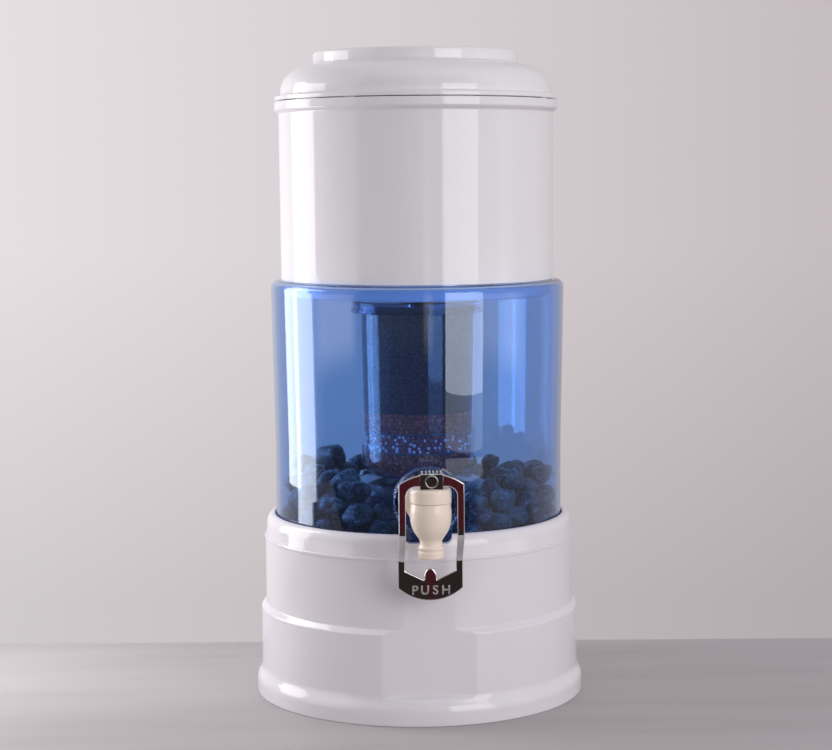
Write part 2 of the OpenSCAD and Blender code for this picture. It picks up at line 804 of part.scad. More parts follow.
module saddle() {
    low = bonnet_top_z + saddle_gap;
    high = bonnet_top_z + lever_top;
    rear_r = 4;
    length = saddle_l - rear_r;
    translate([0, -barrel_y, 0]) {
        translate([-saddle_w / 2, -lever_front, low]) cube([saddle_w, length, high - low]);
        translate([-saddle_w / 2, -lever_front + length, high - rear_r])
            rotate([0, 90, 0]) cylinder(r = rear_r, h = saddle_w);
        for (i = [0:thumb_n - 1])
            translate([(i - (thumb_n - 1) / 2) * saddle_w / thumb_n - thumb_w / 2,
                -lever_front + lever_t, high - 1])
                    cube([thumb_w, length - lever_t, thumb_h + 1]);
    }
}

module lever_ring() {
    ring_z = bonnet_top_z + lever_top / 2;
    difference() {
        rod_y(ring_r, -barrel_y - lever_front - ring_t, -barrel_y - lever_front + 1, ring_z);
        rod_y(ring_r - ring_w, -barrel_y - lever_front - 1, -barrel_y - lever_front + 2, ring_z);
    }
}

module tap_lever() {
    slot_r = sqrt(2) * rod_r + 0.3;
    slot_w = 2 * rod_r + 0.6;
    color("silver") difference() {
        union() {
            lever_loop();
            saddle();
            lever_ring();
        }
        translate([-slot_w / 2, -barrel_y - slot_r, bonnet_top_z - 1])
            cube([slot_w, 2 * slot_r, pin_rise + 1]);
        translate([-slot_w / 2, -barrel_y, pin_z]) rotate([0, 90, 0])
            cylinder(r = slot_r, h = slot_w);
        translate([-saddle_w, -barrel_y, pin_z]) rotate([0, 90, 0])
            cylinder(r = pin_r + fit_gap, h = 2 * saddle_w);
    }
}

// ---- Upper tank ----

module upper_tank() {
    in_r = plug_r - upper_wall;
    color("white") difference() {
        rotate_extrude() polygon(concat(
            [[stem_r + 0.5, plug_z]],
            arc([plug_r - 2, plug_z + 2], 2, -90, 0, 4),
            [[plug_r, ledge_z], [upper_r, ledge_z], [upper_top_r, rim_z - collar_h - 1.5]],
            curve([upper_top_r + 0.3, rim_z - collar_h], [upper_top_r + 2, rim_z - collar_h],
                [collar_r, rim_z - collar_h + 0.6], [collar_r, rim_z - collar_h + 2.5], 4),
            [[collar_r, rim_z - 0.5], [collar_r - 0.5, rim_z], [upper_mouth_r, rim_z],
                [upper_mouth_r, rim_z - collar_h], [upper_r - upper_wall, ledge_z + 4],
                [in_r, ledge_z], [in_r, upper_in_z + 1], [in_r - 1, upper_in_z],
                [stem_r + 0.5, upper_in_z]]));
    }
}

// ---- Lid ----

module lid_section(wall) {
    edge_r = collar_r - 0.2 - wall;
    dome_r = collar_r - 5.2 - wall;
    top_r = grip_r - wall;
    low = wall == 0 ? lid_z : lid_z - 1;
    round_r = max(0.5, grip_round - wall / 2);
    top = grip_z + grip_h - wall;
    polygon(concat(
        [[0, low], [wall == 0 ? edge_r : upper_mouth_r - spigot_gap - wall, low]],
        wall == 0
            ? [[edge_r, lip_top_z - 0.8], [edge_r - 0.8, lip_top_z], [dome_r, lip_top_z + 0.8]]
            : [[upper_mouth_r - spigot_gap - wall, lip_top_z]],
        curve([dome_r, lip_top_z + 1.2], [dome_r, lip_top_z + 13.2 - wall],
            [grip_r + 17.7 - wall, grip_z - 5.1 - wall], [grip_r + 0.2, grip_z - wall], 12),
        [[top_r, grip_z + 0.2 - wall]],
        arc([top_r - round_r, top - round_r], round_r, 0, 90, 5),
        [[0, top]]));
}

module lid() {
    ring_r = upper_mouth_r - spigot_gap;
    color("white") union() {
        difference() {
            rotate_extrude() lid_section(0);
            rotate_extrude() lid_section(lid_wall);
        }
        disc(ring_r, rim_z - spigot_h, lid_z - rim_z + spigot_h + 1, ring_r - lid_wall);
        for (i = [0:pad_n - 1]) rotate(pad_turn - 90 + 360 * i / pad_n)
            translate([ring_r - lid_wall / 2, -pad_w / 2, rim_z + pad_gap])
                cube([collar_r - 1.5 - ring_r + lid_wall / 2, pad_w, vent_gap + 1]);
    }
}

// ---- Dome filter ----

module ceramic_dome() {
    low = upper_in_z + washer_t + dome_base_h / 2;
    side = dome_h - dome_r;
    color("ivory") difference() {
        union() {
            disc(dome_r, low, side);
            translate([0, 0, low + side]) intersection() {
                sphere(r = dome_r);
                disc(dome_r, 0, dome_r);
            }
        }
        disc(dome_r - dome_wall, low - 1, side + 1);
        translate([0, 0, low + side]) sphere(r = dome_r - dome_wall);
    }
}

module dome_base() {
    low = upper_in_z + washer_t;
    stem_low = cap_top_z - cap_wall - 1;
    out_r = dome_r + dome_base_out;
    color("lightsteelblue") difference() {
        union() {
            disc(out_r, low, dome_base_h);
            disc(stem_r, stem_low, low - stem_low + 1);
        }
        disc(dome_r + fit_gap, low + dome_base_h / 2, dome_base_h,
            dome_r - dome_wall - fit_gap);
        disc(stem_bore_r, stem_low - 1, low + dome_base_h - stem_low + 2);
    }
}

module dome_washer() {
    color("dimgray") disc(washer_r, upper_in_z, washer_t, stem_r + fit_gap);
}

module cartridge_washer() {
    color("dimgray") disc(washer_r, plug_z - washer_t, washer_t, stem_r + fit_gap);
}

// ---- Cartridge ----

module cartridge_cap() {
    color("steelblue", 0.7) difference() {
        rotate_extrude() polygon([
            [socket_r, cap_top_z + neck_h], [socket_out_r, cap_top_z + neck_h],
            [socket_out_r, cap_top_z], [cap_r - 1, cap_top_z], [cap_r, cap_top_z - 1],
            [cap_r, cap_z + cap_lip_h], [cap_r + cap_lip_out, cap_z + cap_lip_h],
            [cap_r + cap_lip_out, cap_z], [cap_in_r, cap_z],
            [cap_in_r, cap_top_z - cap_wall], [socket_out_r, cap_top_z - cap_wall],
            [socket_out_r, inlet_felt_z], [socket_r, inlet_felt_z]]);
    }
}

module cartridge_seal() {
    color("dimgray") disc(cup_r - 0.2, cup_top_z, cap_seal_t, cup_r - cup_wall);
}

// Outer radius of the cup at height z
function cup_at(z) = cup_r - cup_taper * (cup_top_z - z) / cup_h;

module cup_outline(inset) {
    low = cup_z + inset;
    r = cup_foot_r - inset;
    foot_out_r = cup_at(cup_z + cup_foot_r) - inset;
    polygon(concat([[0, low]],
        arc([foot_out_r - r, low + r], r, -90, 0, 8),
        [[cup_r - inset, cup_top_z + (inset > 0 ? 1 : 0)],
            [0, cup_top_z + (inset > 0 ? 1 : 0)]]));
}

module cartridge_cup() {
    hole_ring_r = cup_at(cup_z) * 0.5;
    color("lightsteelblue", 0.4) difference() {
        rotate_extrude() cup_outline(0);
        rotate_extrude() cup_outline(cup_wall);
        for (i = [0:outlet_n - 1]) rotate(360 * i / outlet_n)
            translate([hole_ring_r, 0, cup_z - 1]) cylinder(r = outlet_r, h = cup_wall + 2);
    }
}

// A layer inside the cup, from z up to z + h
module bed(z, h, hole = 0) {
    intersection() {
        rotate_extrude() cup_outline(cup_wall + bed_gap);
        disc(cup_r, z, h, hole);
    }
}

module inlet_felt() {
    color("whitesmoke") bed(inlet_felt_z, inlet_felt_t, socket_out_r + bed_gap);
}

module carbon_bed() { color("black") bed(carbon_z, inlet_felt_z - carbon_z); }

module upper_ceramic_balls() { color("sienna") bed(high_balls_z, high_balls_h); }

module upper_felt() { color("whitesmoke") bed(high_felt_z, felt_t); }

module mineral_balls() { color("white") bed(white_balls_z, white_balls_h); }

module lower_felt() { color("whitesmoke") bed(low_felt_z, felt_t); }

module lower_ceramic_balls() { color("sienna") bed(low_balls_z, low_balls_h); }

module outlet_screen() {
    color("whitesmoke")
        disc(cup_at(cup_z + cup_foot_r) - cup_foot_r, cup_in_z, screen_t);
}

base_stand();
lower_tank();
stone_tray();
mineral_stones();
tap_body();
tap_bonnet();
bonnet_gasket();
tap_outer_washer();
tap_inner_washer();
tap_nut();
valve_stem();
valve_seal();
valve_spring();
lever_pin();
tap_lever();
upper_tank();
ceramic_dome();
dome_base();
dome_washer();
cartridge_washer();
cartridge_cap();
cartridge_seal();
cartridge_cup();
inlet_felt();
carbon_bed();
upper_ceramic_balls();
upper_felt();
mineral_balls();
lower_felt();
lower_ceramic_balls();
outlet_screen();
lid();
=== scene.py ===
import math
import bmesh
import bpy
import numpy as np
from mathutils import Matrix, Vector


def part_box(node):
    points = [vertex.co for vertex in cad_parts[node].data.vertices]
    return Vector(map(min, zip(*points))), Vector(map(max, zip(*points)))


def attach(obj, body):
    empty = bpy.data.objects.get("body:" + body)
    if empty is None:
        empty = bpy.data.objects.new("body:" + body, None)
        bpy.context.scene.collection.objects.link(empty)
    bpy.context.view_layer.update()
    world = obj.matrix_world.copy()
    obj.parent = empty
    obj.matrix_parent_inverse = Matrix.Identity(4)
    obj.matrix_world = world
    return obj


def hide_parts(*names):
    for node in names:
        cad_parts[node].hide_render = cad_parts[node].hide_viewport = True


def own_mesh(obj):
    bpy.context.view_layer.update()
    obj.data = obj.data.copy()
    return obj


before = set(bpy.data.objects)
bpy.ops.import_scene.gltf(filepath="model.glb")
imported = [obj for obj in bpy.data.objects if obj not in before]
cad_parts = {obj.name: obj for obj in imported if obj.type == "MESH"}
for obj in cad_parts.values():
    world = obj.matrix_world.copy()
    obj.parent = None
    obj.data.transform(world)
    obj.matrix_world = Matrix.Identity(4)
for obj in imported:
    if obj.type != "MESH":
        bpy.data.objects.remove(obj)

mm = 0.001
degree = math.radians(1)
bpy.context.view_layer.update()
low = {name: np.array(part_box(name)[0]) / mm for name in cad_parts}  # each CAD node's corners, in millimetres
high = {name: np.array(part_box(name)[1]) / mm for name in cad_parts}
barrelY = (low["tap_bonnet"][1] + high["tap_bonnet"][1]) / 2
tapZ = (low["tap_outer_washer"][2] + high["tap_outer_washer"][2]) / 2
print("frame loaded:", len(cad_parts), "nodes")


# How far an upright round node reaches from the middle, and the heights of its foot and its top.
def roundSize(name):
    return high[name][0], low[name][2], high[name][2]


# Camera, table and light

view = dict(lens=85.76, distance=1.6866, height=0.4352, heading=3.4, pitch=5.633, roll=-0.394, shift=-0.0020)


def placed(name, data):
    made = bpy.data.objects.new(name, data)
    bpy.context.scene.collection.objects.link(made)
    return made


def coat(mesh, material):
    mesh.materials.clear()
    mesh.materials.append(material)


def makeCamera():
    camera = placed("camera", bpy.data.cameras.new("camera"))
    camera.data.lens = view["lens"]
    camera.data.shift_x = view["shift"]
    camera.data.dof.use_dof = False
    heading = math.radians(view["heading"])
    camera.matrix_world = (
        Matrix.Translation((-view["distance"] * math.sin(heading), -view["distance"] * math.cos(heading),
                            view["height"]))
        @ Matrix.Rotation(-heading, 4, "Z")
        @ Matrix.Rotation(math.radians(90 - view["pitch"]), 4, "X")
        @ Matrix.Rotation(math.radians(view["roll"]), 4, "Z"))
    bpy.context.scene.camera = camera


lamps = dict(
    leftFront=dict(turn=-92.5, facing=-100.5, reach=0.518, low=0.055, high=0.655, width=0.155, radiance=4.3),
    leftBack=dict(turn=-106, facing=-100.5, reach=0.512, low=0.115, high=0.655, width=0.155, radiance=4.3),
    leftFoot=dict(turn=-82.2, facing=-100.5, reach=0.5402, low=0.10, high=0.33, width=0.04, radiance=4.3),
    leftHead=dict(turn=-79.2, facing=-100.5, reach=0.5504, low=0.545, high=0.655, width=0.10, radiance=4.3),
    rightLight=dict(turn=35.1, facing=35.1, reach=1.25, low=0.10, high=0.84, width=0.65, radiance=3.4),
    rightFoot=dict(turn=35.1, facing=35.1, reach=1.25, low=0.02, high=0.10, width=0.65, radiance=1.0))
# Bands are the two ends of a change in degrees: of height above the horizon, or of turn from the camera's side.
studio = dict(
    lampColour=(1.0, 0.985, 1.0),
    # even light on dull surfaces: from below, from the sides and from above, dimmed on the dark side of the room
    fillLow=(0.06, 0.055, 0.058), fillSide=(0.86, 0.84, 0.88), fillHigh=(0.64, 0.63, 0.66), fillLowBand=(-30, 8),
    fillHighBand=(15, 70), fillTurn=-30, fillDim=0.6, fillDimBand=(25, 100),
    # the wall behind the object, from its light side to its dark side, a little darker at its foot
    wallLight=(0.785, 0.738, 0.765), wallDark=(0.565, 0.508, 0.525), wallHalf=0.2, wallFoot=0.80,
    wallFootBand=(-12, -2),
    # what polished surfaces mirror round the object: a turn in degrees and how bright it is there
    room=((-180, 0.70), (-146, 0.66), (-139, 0.2), (-127, 0.2), (-118, 0.66), (-94, 0.66), (-88, 1.5), (-53, 1.5),
          (-47, 0.10), (4, 0.10), (6, 0.9), (11, 0.9), (13, 0.10), (21, 0.10), (24, 0.3), (49, 0.3), (53, 1.25),
          (68, 1.25), (74, 1.7), (104, 1.7), (112, 0.66), (180, 0.70)),
    roomAbove=0.65, roomBelow=1.35, roomBand=(-3.4, -2.6), ceiling=(0.80, 0.78, 0.80), ceilingBand=(32, 58),
    # the low part of the room: dark, pale on the right, and red about a turn, with a tongue of red hanging lower there
    roomLow=(0.026, 0.019, 0.019), roomLowBand=(-7.6, -6.2), roomRight=0.5, roomRightBand=(40, 54),
    roomRed=(0.062, 0.0095, 0.0155), redTurn=7.1, redBand=(9, 16), redLow=-10.95, redEdge=0.12, tongueLow=-11.95,
    tongueBand=(0.45, 0.85),
    # where the wall takes over from the room, from in front (-1) to behind (1), and how bright clear parts see it in
    # front
    wallFrom=(-0.25, 0.1), wallInside=0.5,
    table=(0.43, 0.40, 0.40), tableBack=0.160, tableFront=-0.50, tableHalf=1.30, tableThick=0.035)


# A rectangular lamp that faces the object; turn 0 is on the camera's side and 90 to its right.
def softbox(name, spec):
    height = spec["high"] - spec["low"]
    turn = math.radians(spec["turn"] - view["heading"])
    lamp = bpy.data.lights.new(name, "AREA")
    lamp.shape = "RECTANGLE"
    lamp.size, lamp.size_y = spec["width"], height
    lamp.energy = spec["radiance"] * math.pi * spec["width"] * height
    lamp.color = studio["lampColour"]
    holder = placed(name, lamp)
    holder.location = (spec["reach"] * math.sin(turn), -spec["reach"] * math.cos(turn),
                       (spec["low"] + spec["high"]) / 2)
    holder.rotation_euler = (math.radians(90), 0, math.radians(spec["facing"] - view["heading"]))
    holder.visible_camera = False


# Sets a node's inputs to plain values or links them from other nodes' outputs.
def feed(tree, node, inputs):
    for key, value in inputs.items():
        if isinstance(value, bpy.types.NodeSocket):
            tree.links.new(value, node.inputs[key])
        else:
            node.inputs[key].default_value = value
    return node


def addNode(tree, kind, inputs=None, **settings):
    made = tree.nodes.new(kind)
    for key, value in settings.items():
        setattr(made, key, value)
    return feed(tree, made, inputs or {})


def sums(tree, operation, *values):
    return addNode(tree, "ShaderNodeMath", dict(enumerate(values)), operation=operation).outputs[0]


# The first value plus a share of the second.
def plus(tree, first, second, share=1.0):
    return sums(tree, "ADD", first, sums(tree, "MULTIPLY", second, share))


def scaled(tree, colour, share):
    return addNode(tree, "ShaderNodeVectorMath", {0: colour, "Scale": share}, operation="SCALE").outputs[0]


# A value carried from one range to another and held at its ends.
def ranged(tree, value, fromLow, fromHigh, toLow=0.0, toHigh=1.0, smooth=False):
    return addNode(tree, "ShaderNodeMapRange", {0: value, 1: fromLow, 2: fromHigh, 3: toLow, 4: toHigh},
                   interpolation_type="SMOOTHSTEP" if smooth else "LINEAR").outputs[0]


# From the first colour to the second by a share.
def blended(tree, share, first, second):
    def full(colour):
        return colour if isinstance(colour, bpy.types.NodeSocket) else (*colour[:3], 1)
    return addNode(tree, "ShaderNodeMix", {0: share, 6: full(first), 7: full(second)}, data_type="RGBA").outputs[2]


# An angle carried over a band whose ends are in degrees.
def banded(tree, angle, band, toLow=0.0, toHigh=1.0, smooth=True):
    return ranged(tree, angle, band[0] * degree, band[1] * degree, toLow, toHigh, smooth)


# How far an angle is from a turn in degrees, either way.
def offTurn(tree, angle, turn):
    return sums(tree, "ABSOLUTE", sums(tree, "SUBTRACT", angle, turn * degree))


# Behind the object is the wall, and round it the room that polished surfaces mirror; an even fill lights the rest.
def makeWorld():
    world = bpy.data.worlds.new("room")
    bpy.context.scene.world = world
    world.use_nodes = True
    tree = world.node_tree
    tree.nodes.clear()
    black = (0, 0, 0)
    direction = addNode(tree, "ShaderNodeTexCoord").outputs["Generated"]
    turned = addNode(tree, "ShaderNodeVectorRotate", {"Vector": direction, "Angle": math.radians(view["heading"])},
                     rotation_type="Z_AXIS").outputs[0]
    across, ahead, rise = addNode(tree, "ShaderNodeSeparateXYZ", {0: turned}).outputs
    up = sums(tree, "ARCSINE", rise)
    sideways = sums(tree, "ARCTAN2", across, sums(tree, "MULTIPLY", ahead, -1.0))
    wallShare = ranged(tree, across, -studio["wallHalf"], studio["wallHalf"])
    wall = blended(tree, wallShare, studio["wallLight"], studio["wallDark"])
    wall = blended(tree, banded(tree, up, studio["wallFootBand"], studio["wallFoot"], smooth=False), black, wall)
    levels = addNode(tree, "ShaderNodeValToRGB", {0: banded(tree, sideways, (-180, 180), smooth=False)})
    stops = levels.color_ramp.elements
    for index, (turn, level) in enumerate(studio["room"]):
        stop = stops[index] if index < 2 else stops.new(1.0)
        stop.position = (turn + 180) / 360
        stop.color = (level, level * 0.98, level, 1)
    offRed, edge = offTurn(tree, sideways, studio["redTurn"]), studio["redEdge"]
    redFoot = banded(tree, offRed, studio["tongueBand"], studio["tongueLow"] * degree, studio["redLow"] * degree)
    above = banded(tree, sums(tree, "SUBTRACT", up, redFoot), (-edge, edge), smooth=False)
    red = sums(tree, "MULTIPLY", above, banded(tree, offRed, studio["redBand"], 1, 0))
    lowRoom = blended(tree, red, studio["roomLow"], studio["roomRed"])
    lowRoom = blended(tree, banded(tree, sideways, studio["roomRightBand"]), lowRoom, (studio["roomRight"],) * 3)
    share = banded(tree, up, studio["roomBand"], studio["roomBelow"], studio["roomAbove"], False)
    around = scaled(tree, levels.outputs[0], share)
    around = blended(tree, banded(tree, up, studio["ceilingBand"]), around, studio["ceiling"])
    front = blended(tree, banded(tree, up, studio["roomLowBand"]), lowRoom, around)
    room = blended(tree, ranged(tree, ahead, *studio["wallFrom"], smooth=True), front, wall)
    fill = blended(tree, banded(tree, up, studio["fillLowBand"]), studio["fillLow"], studio["fillSide"])
    fill = blended(tree, banded(tree, up, studio["fillHighBand"]), fill, studio["fillHigh"])
    dim = banded(tree, offTurn(tree, sideways, studio["fillTurn"]), studio["fillDimBand"], studio["fillDim"])
    fill = blended(tree, dim, black, fill)
    # the eye sees the plain wall all round, clear parts the wall dimmed in front, polished surfaces mirror the room,
    # and dull ones take the fill
    path = addNode(tree, "ShaderNodeLightPath")
    inside = blended(tree, ranged(tree, ahead, *studio["wallFrom"], studio["wallInside"], smooth=True), black, wall)
    light = blended(tree, path.outputs["Is Glossy Ray"], fill, room)
    light = blended(tree, path.outputs["Is Transmission Ray"], light, inside)
    light = blended(tree, path.outputs["Is Camera Ray"], light, wall)
    back = addNode(tree, "ShaderNodeBackground", {"Color": light, "Strength": 1.0})
    addNode(tree, "ShaderNodeOutputWorld", {0: back.outputs[0]})


# Shapes, all in millimetres

# Points on a cubic curve from a to d that b and c pull on.
def bend(a, b, c, d, count=12):
    t = np.linspace(0, 1, count)[:, None]
    s = 1 - t
    return s**3 * np.array(a) + 3 * s * s * t * np.array(b) + 3 * s * t * t * np.array(c) + t**3 * np.array(d)


# Points on an arc: the centre plus radius times cos and sin of the angle, in degrees.
def arc(centre, radius, start, end, count=7):
    angle = np.radians(np.linspace(start, end, count))
    return np.stack([centre[0] + radius * np.cos(angle), centre[1] + radius * np.sin(angle)], 1)


# An outline of corners (across, up, radius) and ready-made runs of points; a corner with a radius becomes an arc
# tangent to its sides.
def outline(*parts, steps=5):
    rows = np.vstack([np.column_stack([part, np.zeros(len(part))]) if np.ndim(part) == 2
                      else np.array([(*part, 0)[:3]], float) for part in parts])
    points = []
    for here, before, after in zip(rows, np.roll(rows, 1, axis=0), np.roll(rows, -1, axis=0)):
        if here[2] == 0:
            points.append(here[None, :2])
            continue
        u, v = [(side[:2] - here[:2]) / np.linalg.norm(side[:2] - here[:2]) for side in (before, after)]
        half = math.acos(np.clip(u @ v, -1, 1)) / 2
        centre = here[:2] + (u + v) / np.linalg.norm(u + v) * here[2] / math.sin(half)
        ends = [here[:2] + side * here[2] / math.tan(half) - centre for side in (u, v)]
        start = math.atan2(ends[0][1], ends[0][0])
        sweep = (math.atan2(ends[1][1], ends[1][0]) - start + math.pi) % (2 * math.pi) - math.pi
        points.append(arc(centre, here[2], math.degrees(start), math.degrees(start + sweep), steps + 1))
    return np.concatenate(points)


# Adds a point close to both ends of each long side, which keeps the shading flat between them.
def supported(points, closed=False):
    near = 0.35
    step = np.roll(points, -1, axis=0) - points
    length = np.linalg.norm(step, axis=1)[:, None]
    long = length[:, 0] > 4 * near
    share = near / np.maximum(length, 1e-9)
    rows = np.stack([points, points + step * share, points + step * (1 - share)], 1)
    keep = np.stack([np.ones_like(long), long, long], 1)
    if not closed:
        keep[-1, 1:] = False
    return rows[keep]


# Cuts sides longer than a limit into equal shorter ones.
def divided(points, limit, closed=False):
    after = np.roll(points, -1, axis=0)
    count = len(points) - (0 if closed else 1)
    rows = [a + (b - a) * np.linspace(0, 1, max(1, math.ceil(np.linalg.norm(b - a) / limit)), endpoint=False)[:, None]
            for a, b in zip(points[:count], after[:count])]
    return np.concatenate(rows if closed else rows + [points[-1:]])


# A line through the points with a set number of points evenly spaced along it.
def resampled(points, count):
    length = np.concatenate([[0], np.cumsum(np.linalg.norm(np.diff(points, axis=0), axis=1))])
    at = np.linspace(0, length[-1], count)
    return np.stack([np.interp(at, length, points[:, k]) for k in range(points.shape[1])], 1)


# Zero below start, one above end, and an even S between them.
def eased(value, start, end):
    t = np.clip((value - start) / (end - start), 0, 1)
    return t * t * (3 - 2 * t)


# A profile (distance, height) carried round an upright axis: x is distance times sin, y minus distance times cos.
def turned(profile, angles, centre=(0, 0)):
    r, z = profile[:, 0, None], profile[:, 1, None]
    return np.stack([centre[0] + r * np.sin(angles), centre[1] - r * np.cos(angles), z + 0 * angles], -1)


# The same round a level axis along Y: a profile (distance, y) carried round the line at height z.
def turnedLevel(profile, angles, z):
    r, y = profile[:, 0, None], profile[:, 1, None]
    return np.stack([r * np.sin(angles), y + 0 * angles, z - r * np.cos(angles)], -1)


# Angles evenly round a turn, the first one zero.
def evenAngles(count):
    return np.arange(count) * 2 * np.pi / count


# Ways from a ball's centre, from pole to pole in rows and round it in columns.
def ballGrid(rows, columns):
    theta, phi = np.linspace(0, np.pi, rows)[:, None], evenAngles(columns)
    return np.stack([np.sin(theta) * np.cos(phi), np.sin(theta) * np.sin(phi), np.cos(theta) + 0 * phi], -1)


# Points turned about the upright axis by an angle.
def spun(points, turn):
    c, s = math.cos(turn), math.sin(turn)
    return points @ np.array([[c, s, 0], [-s, c, 0], [0, 0, 1]])


# A grid of points as corners and quads, joined from its last column to its first, and so with its rows when asked.
def skin(grid, closeRows=False):
    rows, columns = grid.shape[:2]
    index = np.arange(rows * columns).reshape(rows, columns)
    index = np.vstack([index, index[:1]]) if closeRows else index
    index = np.hstack([index, index[:, :1]])
    quads = np.stack([index[:-1, :-1], index[:-1, 1:], index[1:, 1:], index[1:, :-1]], -1).reshape(-1, 4)
    return grid.reshape(-1, 3), quads.tolist()


# A closed profile carried round an upright axis, or round a level one at height z, into a ring.
def ringShape(profile, count, centre=(0, 0), z=None):
    profile, angles = supported(profile, closed=True), evenAngles(count)
    return skin(turned(profile, angles, centre) if z is None else turnedLevel(profile, angles, z), closeRows=True)


# A flat outline (u, v) given depth from start to end, its edges drawn in along quarter circles, and both faces closed.
def slab(points, start, end, edge, axes=(0, 1, 2)):
    area = np.sum(points[:, 0] * np.roll(points[:, 1], -1) - np.roll(points[:, 0], -1) * points[:, 1])
    points = points if area > 0 else points[::-1]
    along = np.roll(points, -1, axis=0) - np.roll(points, 1, axis=0)
    along /= np.linalg.norm(along, axis=1)[:, None]
    inward = np.stack([-along[:, 1], along[:, 0]], 1)
    quarter = np.linspace(0, np.pi / 2, 4)
    inset = edge * (1 - np.sin(quarter))
    rise = edge * (1 - np.cos(quarter))
    inset = np.concatenate([inset, inset[::-1]])[:, None, None]
    depth = np.concatenate([start + rise, end - rise[::-1]])
    flat = points[None] + inward[None] * inset
    grid = np.empty((*flat.shape[:2], 3))
    grid[..., axes[0]], grid[..., axes[1]], grid[..., axes[2]] = flat[..., 0], flat[..., 1], depth[:, None]
    corners, faces = skin(grid)
    count = len(points)
    last = len(corners) - count
    return corners, faces + [list(range(count))[::-1], list(range(last, last + count))]


# Joins shapes into one finished mesh, closed and facing outwards, that rides on a body and stands for CAD nodes,
# which it hides, with the given material.
def makePiece(name, shapes, material, body, *nodes, sharp=38, tone=None):
    corners, faces, start = [], [], 0
    for shape, cells in shapes:
        corners.append(shape)
        faces += [[corner + start for corner in cell] for cell in cells]
        start += len(shape)
    mesh = bpy.data.meshes.new(name)
    mesh.from_pydata(np.concatenate(corners) * mm, [], faces)
    if tone is not None:
        mesh.attributes.new("tone", "FLOAT", "POINT").data.foreach_set("value", tone.astype(np.float32))
    work = bmesh.new()
    work.from_mesh(mesh)
    bmesh.ops.remove_doubles(work, verts=work.verts, dist=2e-6)
    bmesh.ops.dissolve_degenerate(work, edges=work.edges, dist=1e-6)
    bmesh.ops.recalc_face_normals(work, faces=work.faces)
    work.to_mesh(mesh)
    work.free()
    mesh.shade_smooth()
    mesh.set_sharp_from_angle(angle=math.radians(sharp))
    coat(mesh, material)
    piece = placed(name, mesh)
    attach(piece, body)
    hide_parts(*nodes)
    return piece


def makeTable():
    half, back, front = studio["tableHalf"] / mm, studio["tableBack"] / mm, studio["tableFront"] / mm
    board = outline((-half, front, 4), (half, front, 4), (half, back, 4), (-half, back, 4))
    corners, faces = slab(board, -studio["tableThick"] / mm, 0, 2)
    mesh = bpy.data.meshes.new("table")
    mesh.from_pydata(spun(corners, -math.radians(view["heading"])) * mm, [], faces)
    material, tree, shader = newMaterial("tableTop")
    shade = ranged(tree, noise(tree, objectPlace(tree, (1, 9, 1)), 2.2, 5.0), 0.3, 0.7, 0.9, 1.06)
    feed(tree, shader, {"Base Color": blended(tree, shade, (0, 0, 0), studio["table"]), "Roughness": 0.5})
    coat(mesh, material)
    table = placed("table", mesh)


# Finishes

def newMaterial(name):
    material = bpy.data.materials.new(name)
    material.use_nodes = True
    tree = material.node_tree
    return material, tree, tree.nodes["Principled BSDF"]


def ownPlace(tree):
    return addNode(tree, "ShaderNodeTexCoord").outputs["Object"]


def objectPlace(tree, stretch=(1, 1, 1), turn=(0, 0, 0)):
    return addNode(tree, "ShaderNodeMapping", {"Vector": ownPlace(tree), "Scale": stretch,
                                               "Rotation": turn}).outputs[0]


# Uneven noise at a place, about 0.5.
def noise(tree, place, scale, detail, distortion=0.0):
    return addNode(tree, "ShaderNodeTexNoise", {"Vector": place, "Scale": scale, "Detail": detail,
                                                "Distortion": distortion}).outputs[0]


# A shader group with number inputs and outputs: the group, the outputs of its first node, and its last node.
def newGroup(name, inputs, outputs):
    group = bpy.data.node_groups.new(name, "ShaderNodeTree")
    for label, value in inputs.items():
        group.interface.new_socket(label, in_out="INPUT", socket_type="NodeSocketFloat").default_value = value
    for label in outputs:
        group.interface.new_socket(label, in_out="OUTPUT", socket_type="NodeSocketFloat")
    return group, group.nodes.new("NodeGroupInput").outputs, group.nodes.new("NodeGroupOutput")


# Moulded skin: broad uneven flow, fine grain and rubbed patches as a tone, a roughness and a height.
def makeMouldGroup():
    group, given, out = newGroup("mouldedSkin", {"Broad": 18.0, "Fine": 900.0, "Rough": 0.08, "Spread": 0.03,
                                                 "Shade": 0.03}, ("Tone", "Roughness", "Height"))
    place = ownPlace(group)
    broad, fine = noise(group, place, given["Broad"], 4.0), noise(group, place, given["Fine"], 2.0)
    centred = sums(group, "SUBTRACT", broad, 0.5)
    rough = plus(group, given["Rough"], centred, given["Spread"])
    height = plus(group, sums(group, "MULTIPLY", broad, 0.6), fine, 0.05)
    feed(group, out, {"Tone": plus(group, 1.0, centred, given["Shade"]), "Height": height,
                      "Roughness": sums(group, "MAXIMUM", rough, 0.01)})
    return group


# Packed grains: each cell has its own tone, stands proud in the middle and falls away at its rim, where a mask marks
# the painted shade between the grains.
def makeGrainGroup():
    group, given, out = newGroup("packedGrains", {"Scale": 400.0, "Jitter": 1.0}, ("Tone", "Height", "GapShade"))
    cells = addNode(group, "ShaderNodeTexVoronoi", {"Vector": ownPlace(group), "Scale": given["Scale"],
                                                    "Randomness": given["Jitter"]}).outputs
    feed(group, out, {"Tone": addNode(group, "ShaderNodeSeparateColor", {0: cells["Color"]}).outputs[0],
                      "Height": sums(group, "SUBTRACT", 1.0, cells["Distance"]),
                      "GapShade": ranged(group, cells["Distance"], 0.35, 0.75)})
    return group


groups = {"skin": makeMouldGroup(), "grains": makeGrainGroup()}


def placeGroup(tree, name, **values):
    return addNode(tree, "ShaderNodeGroup", values, node_tree=groups[name]).outputs


# Relief from a height, with its depth in metres.
def relief(tree, height, depth):
    return addNode(tree, "ShaderNodeBump", {"Height": height, "Distance": depth, "Strength": 1.0}).outputs[0]


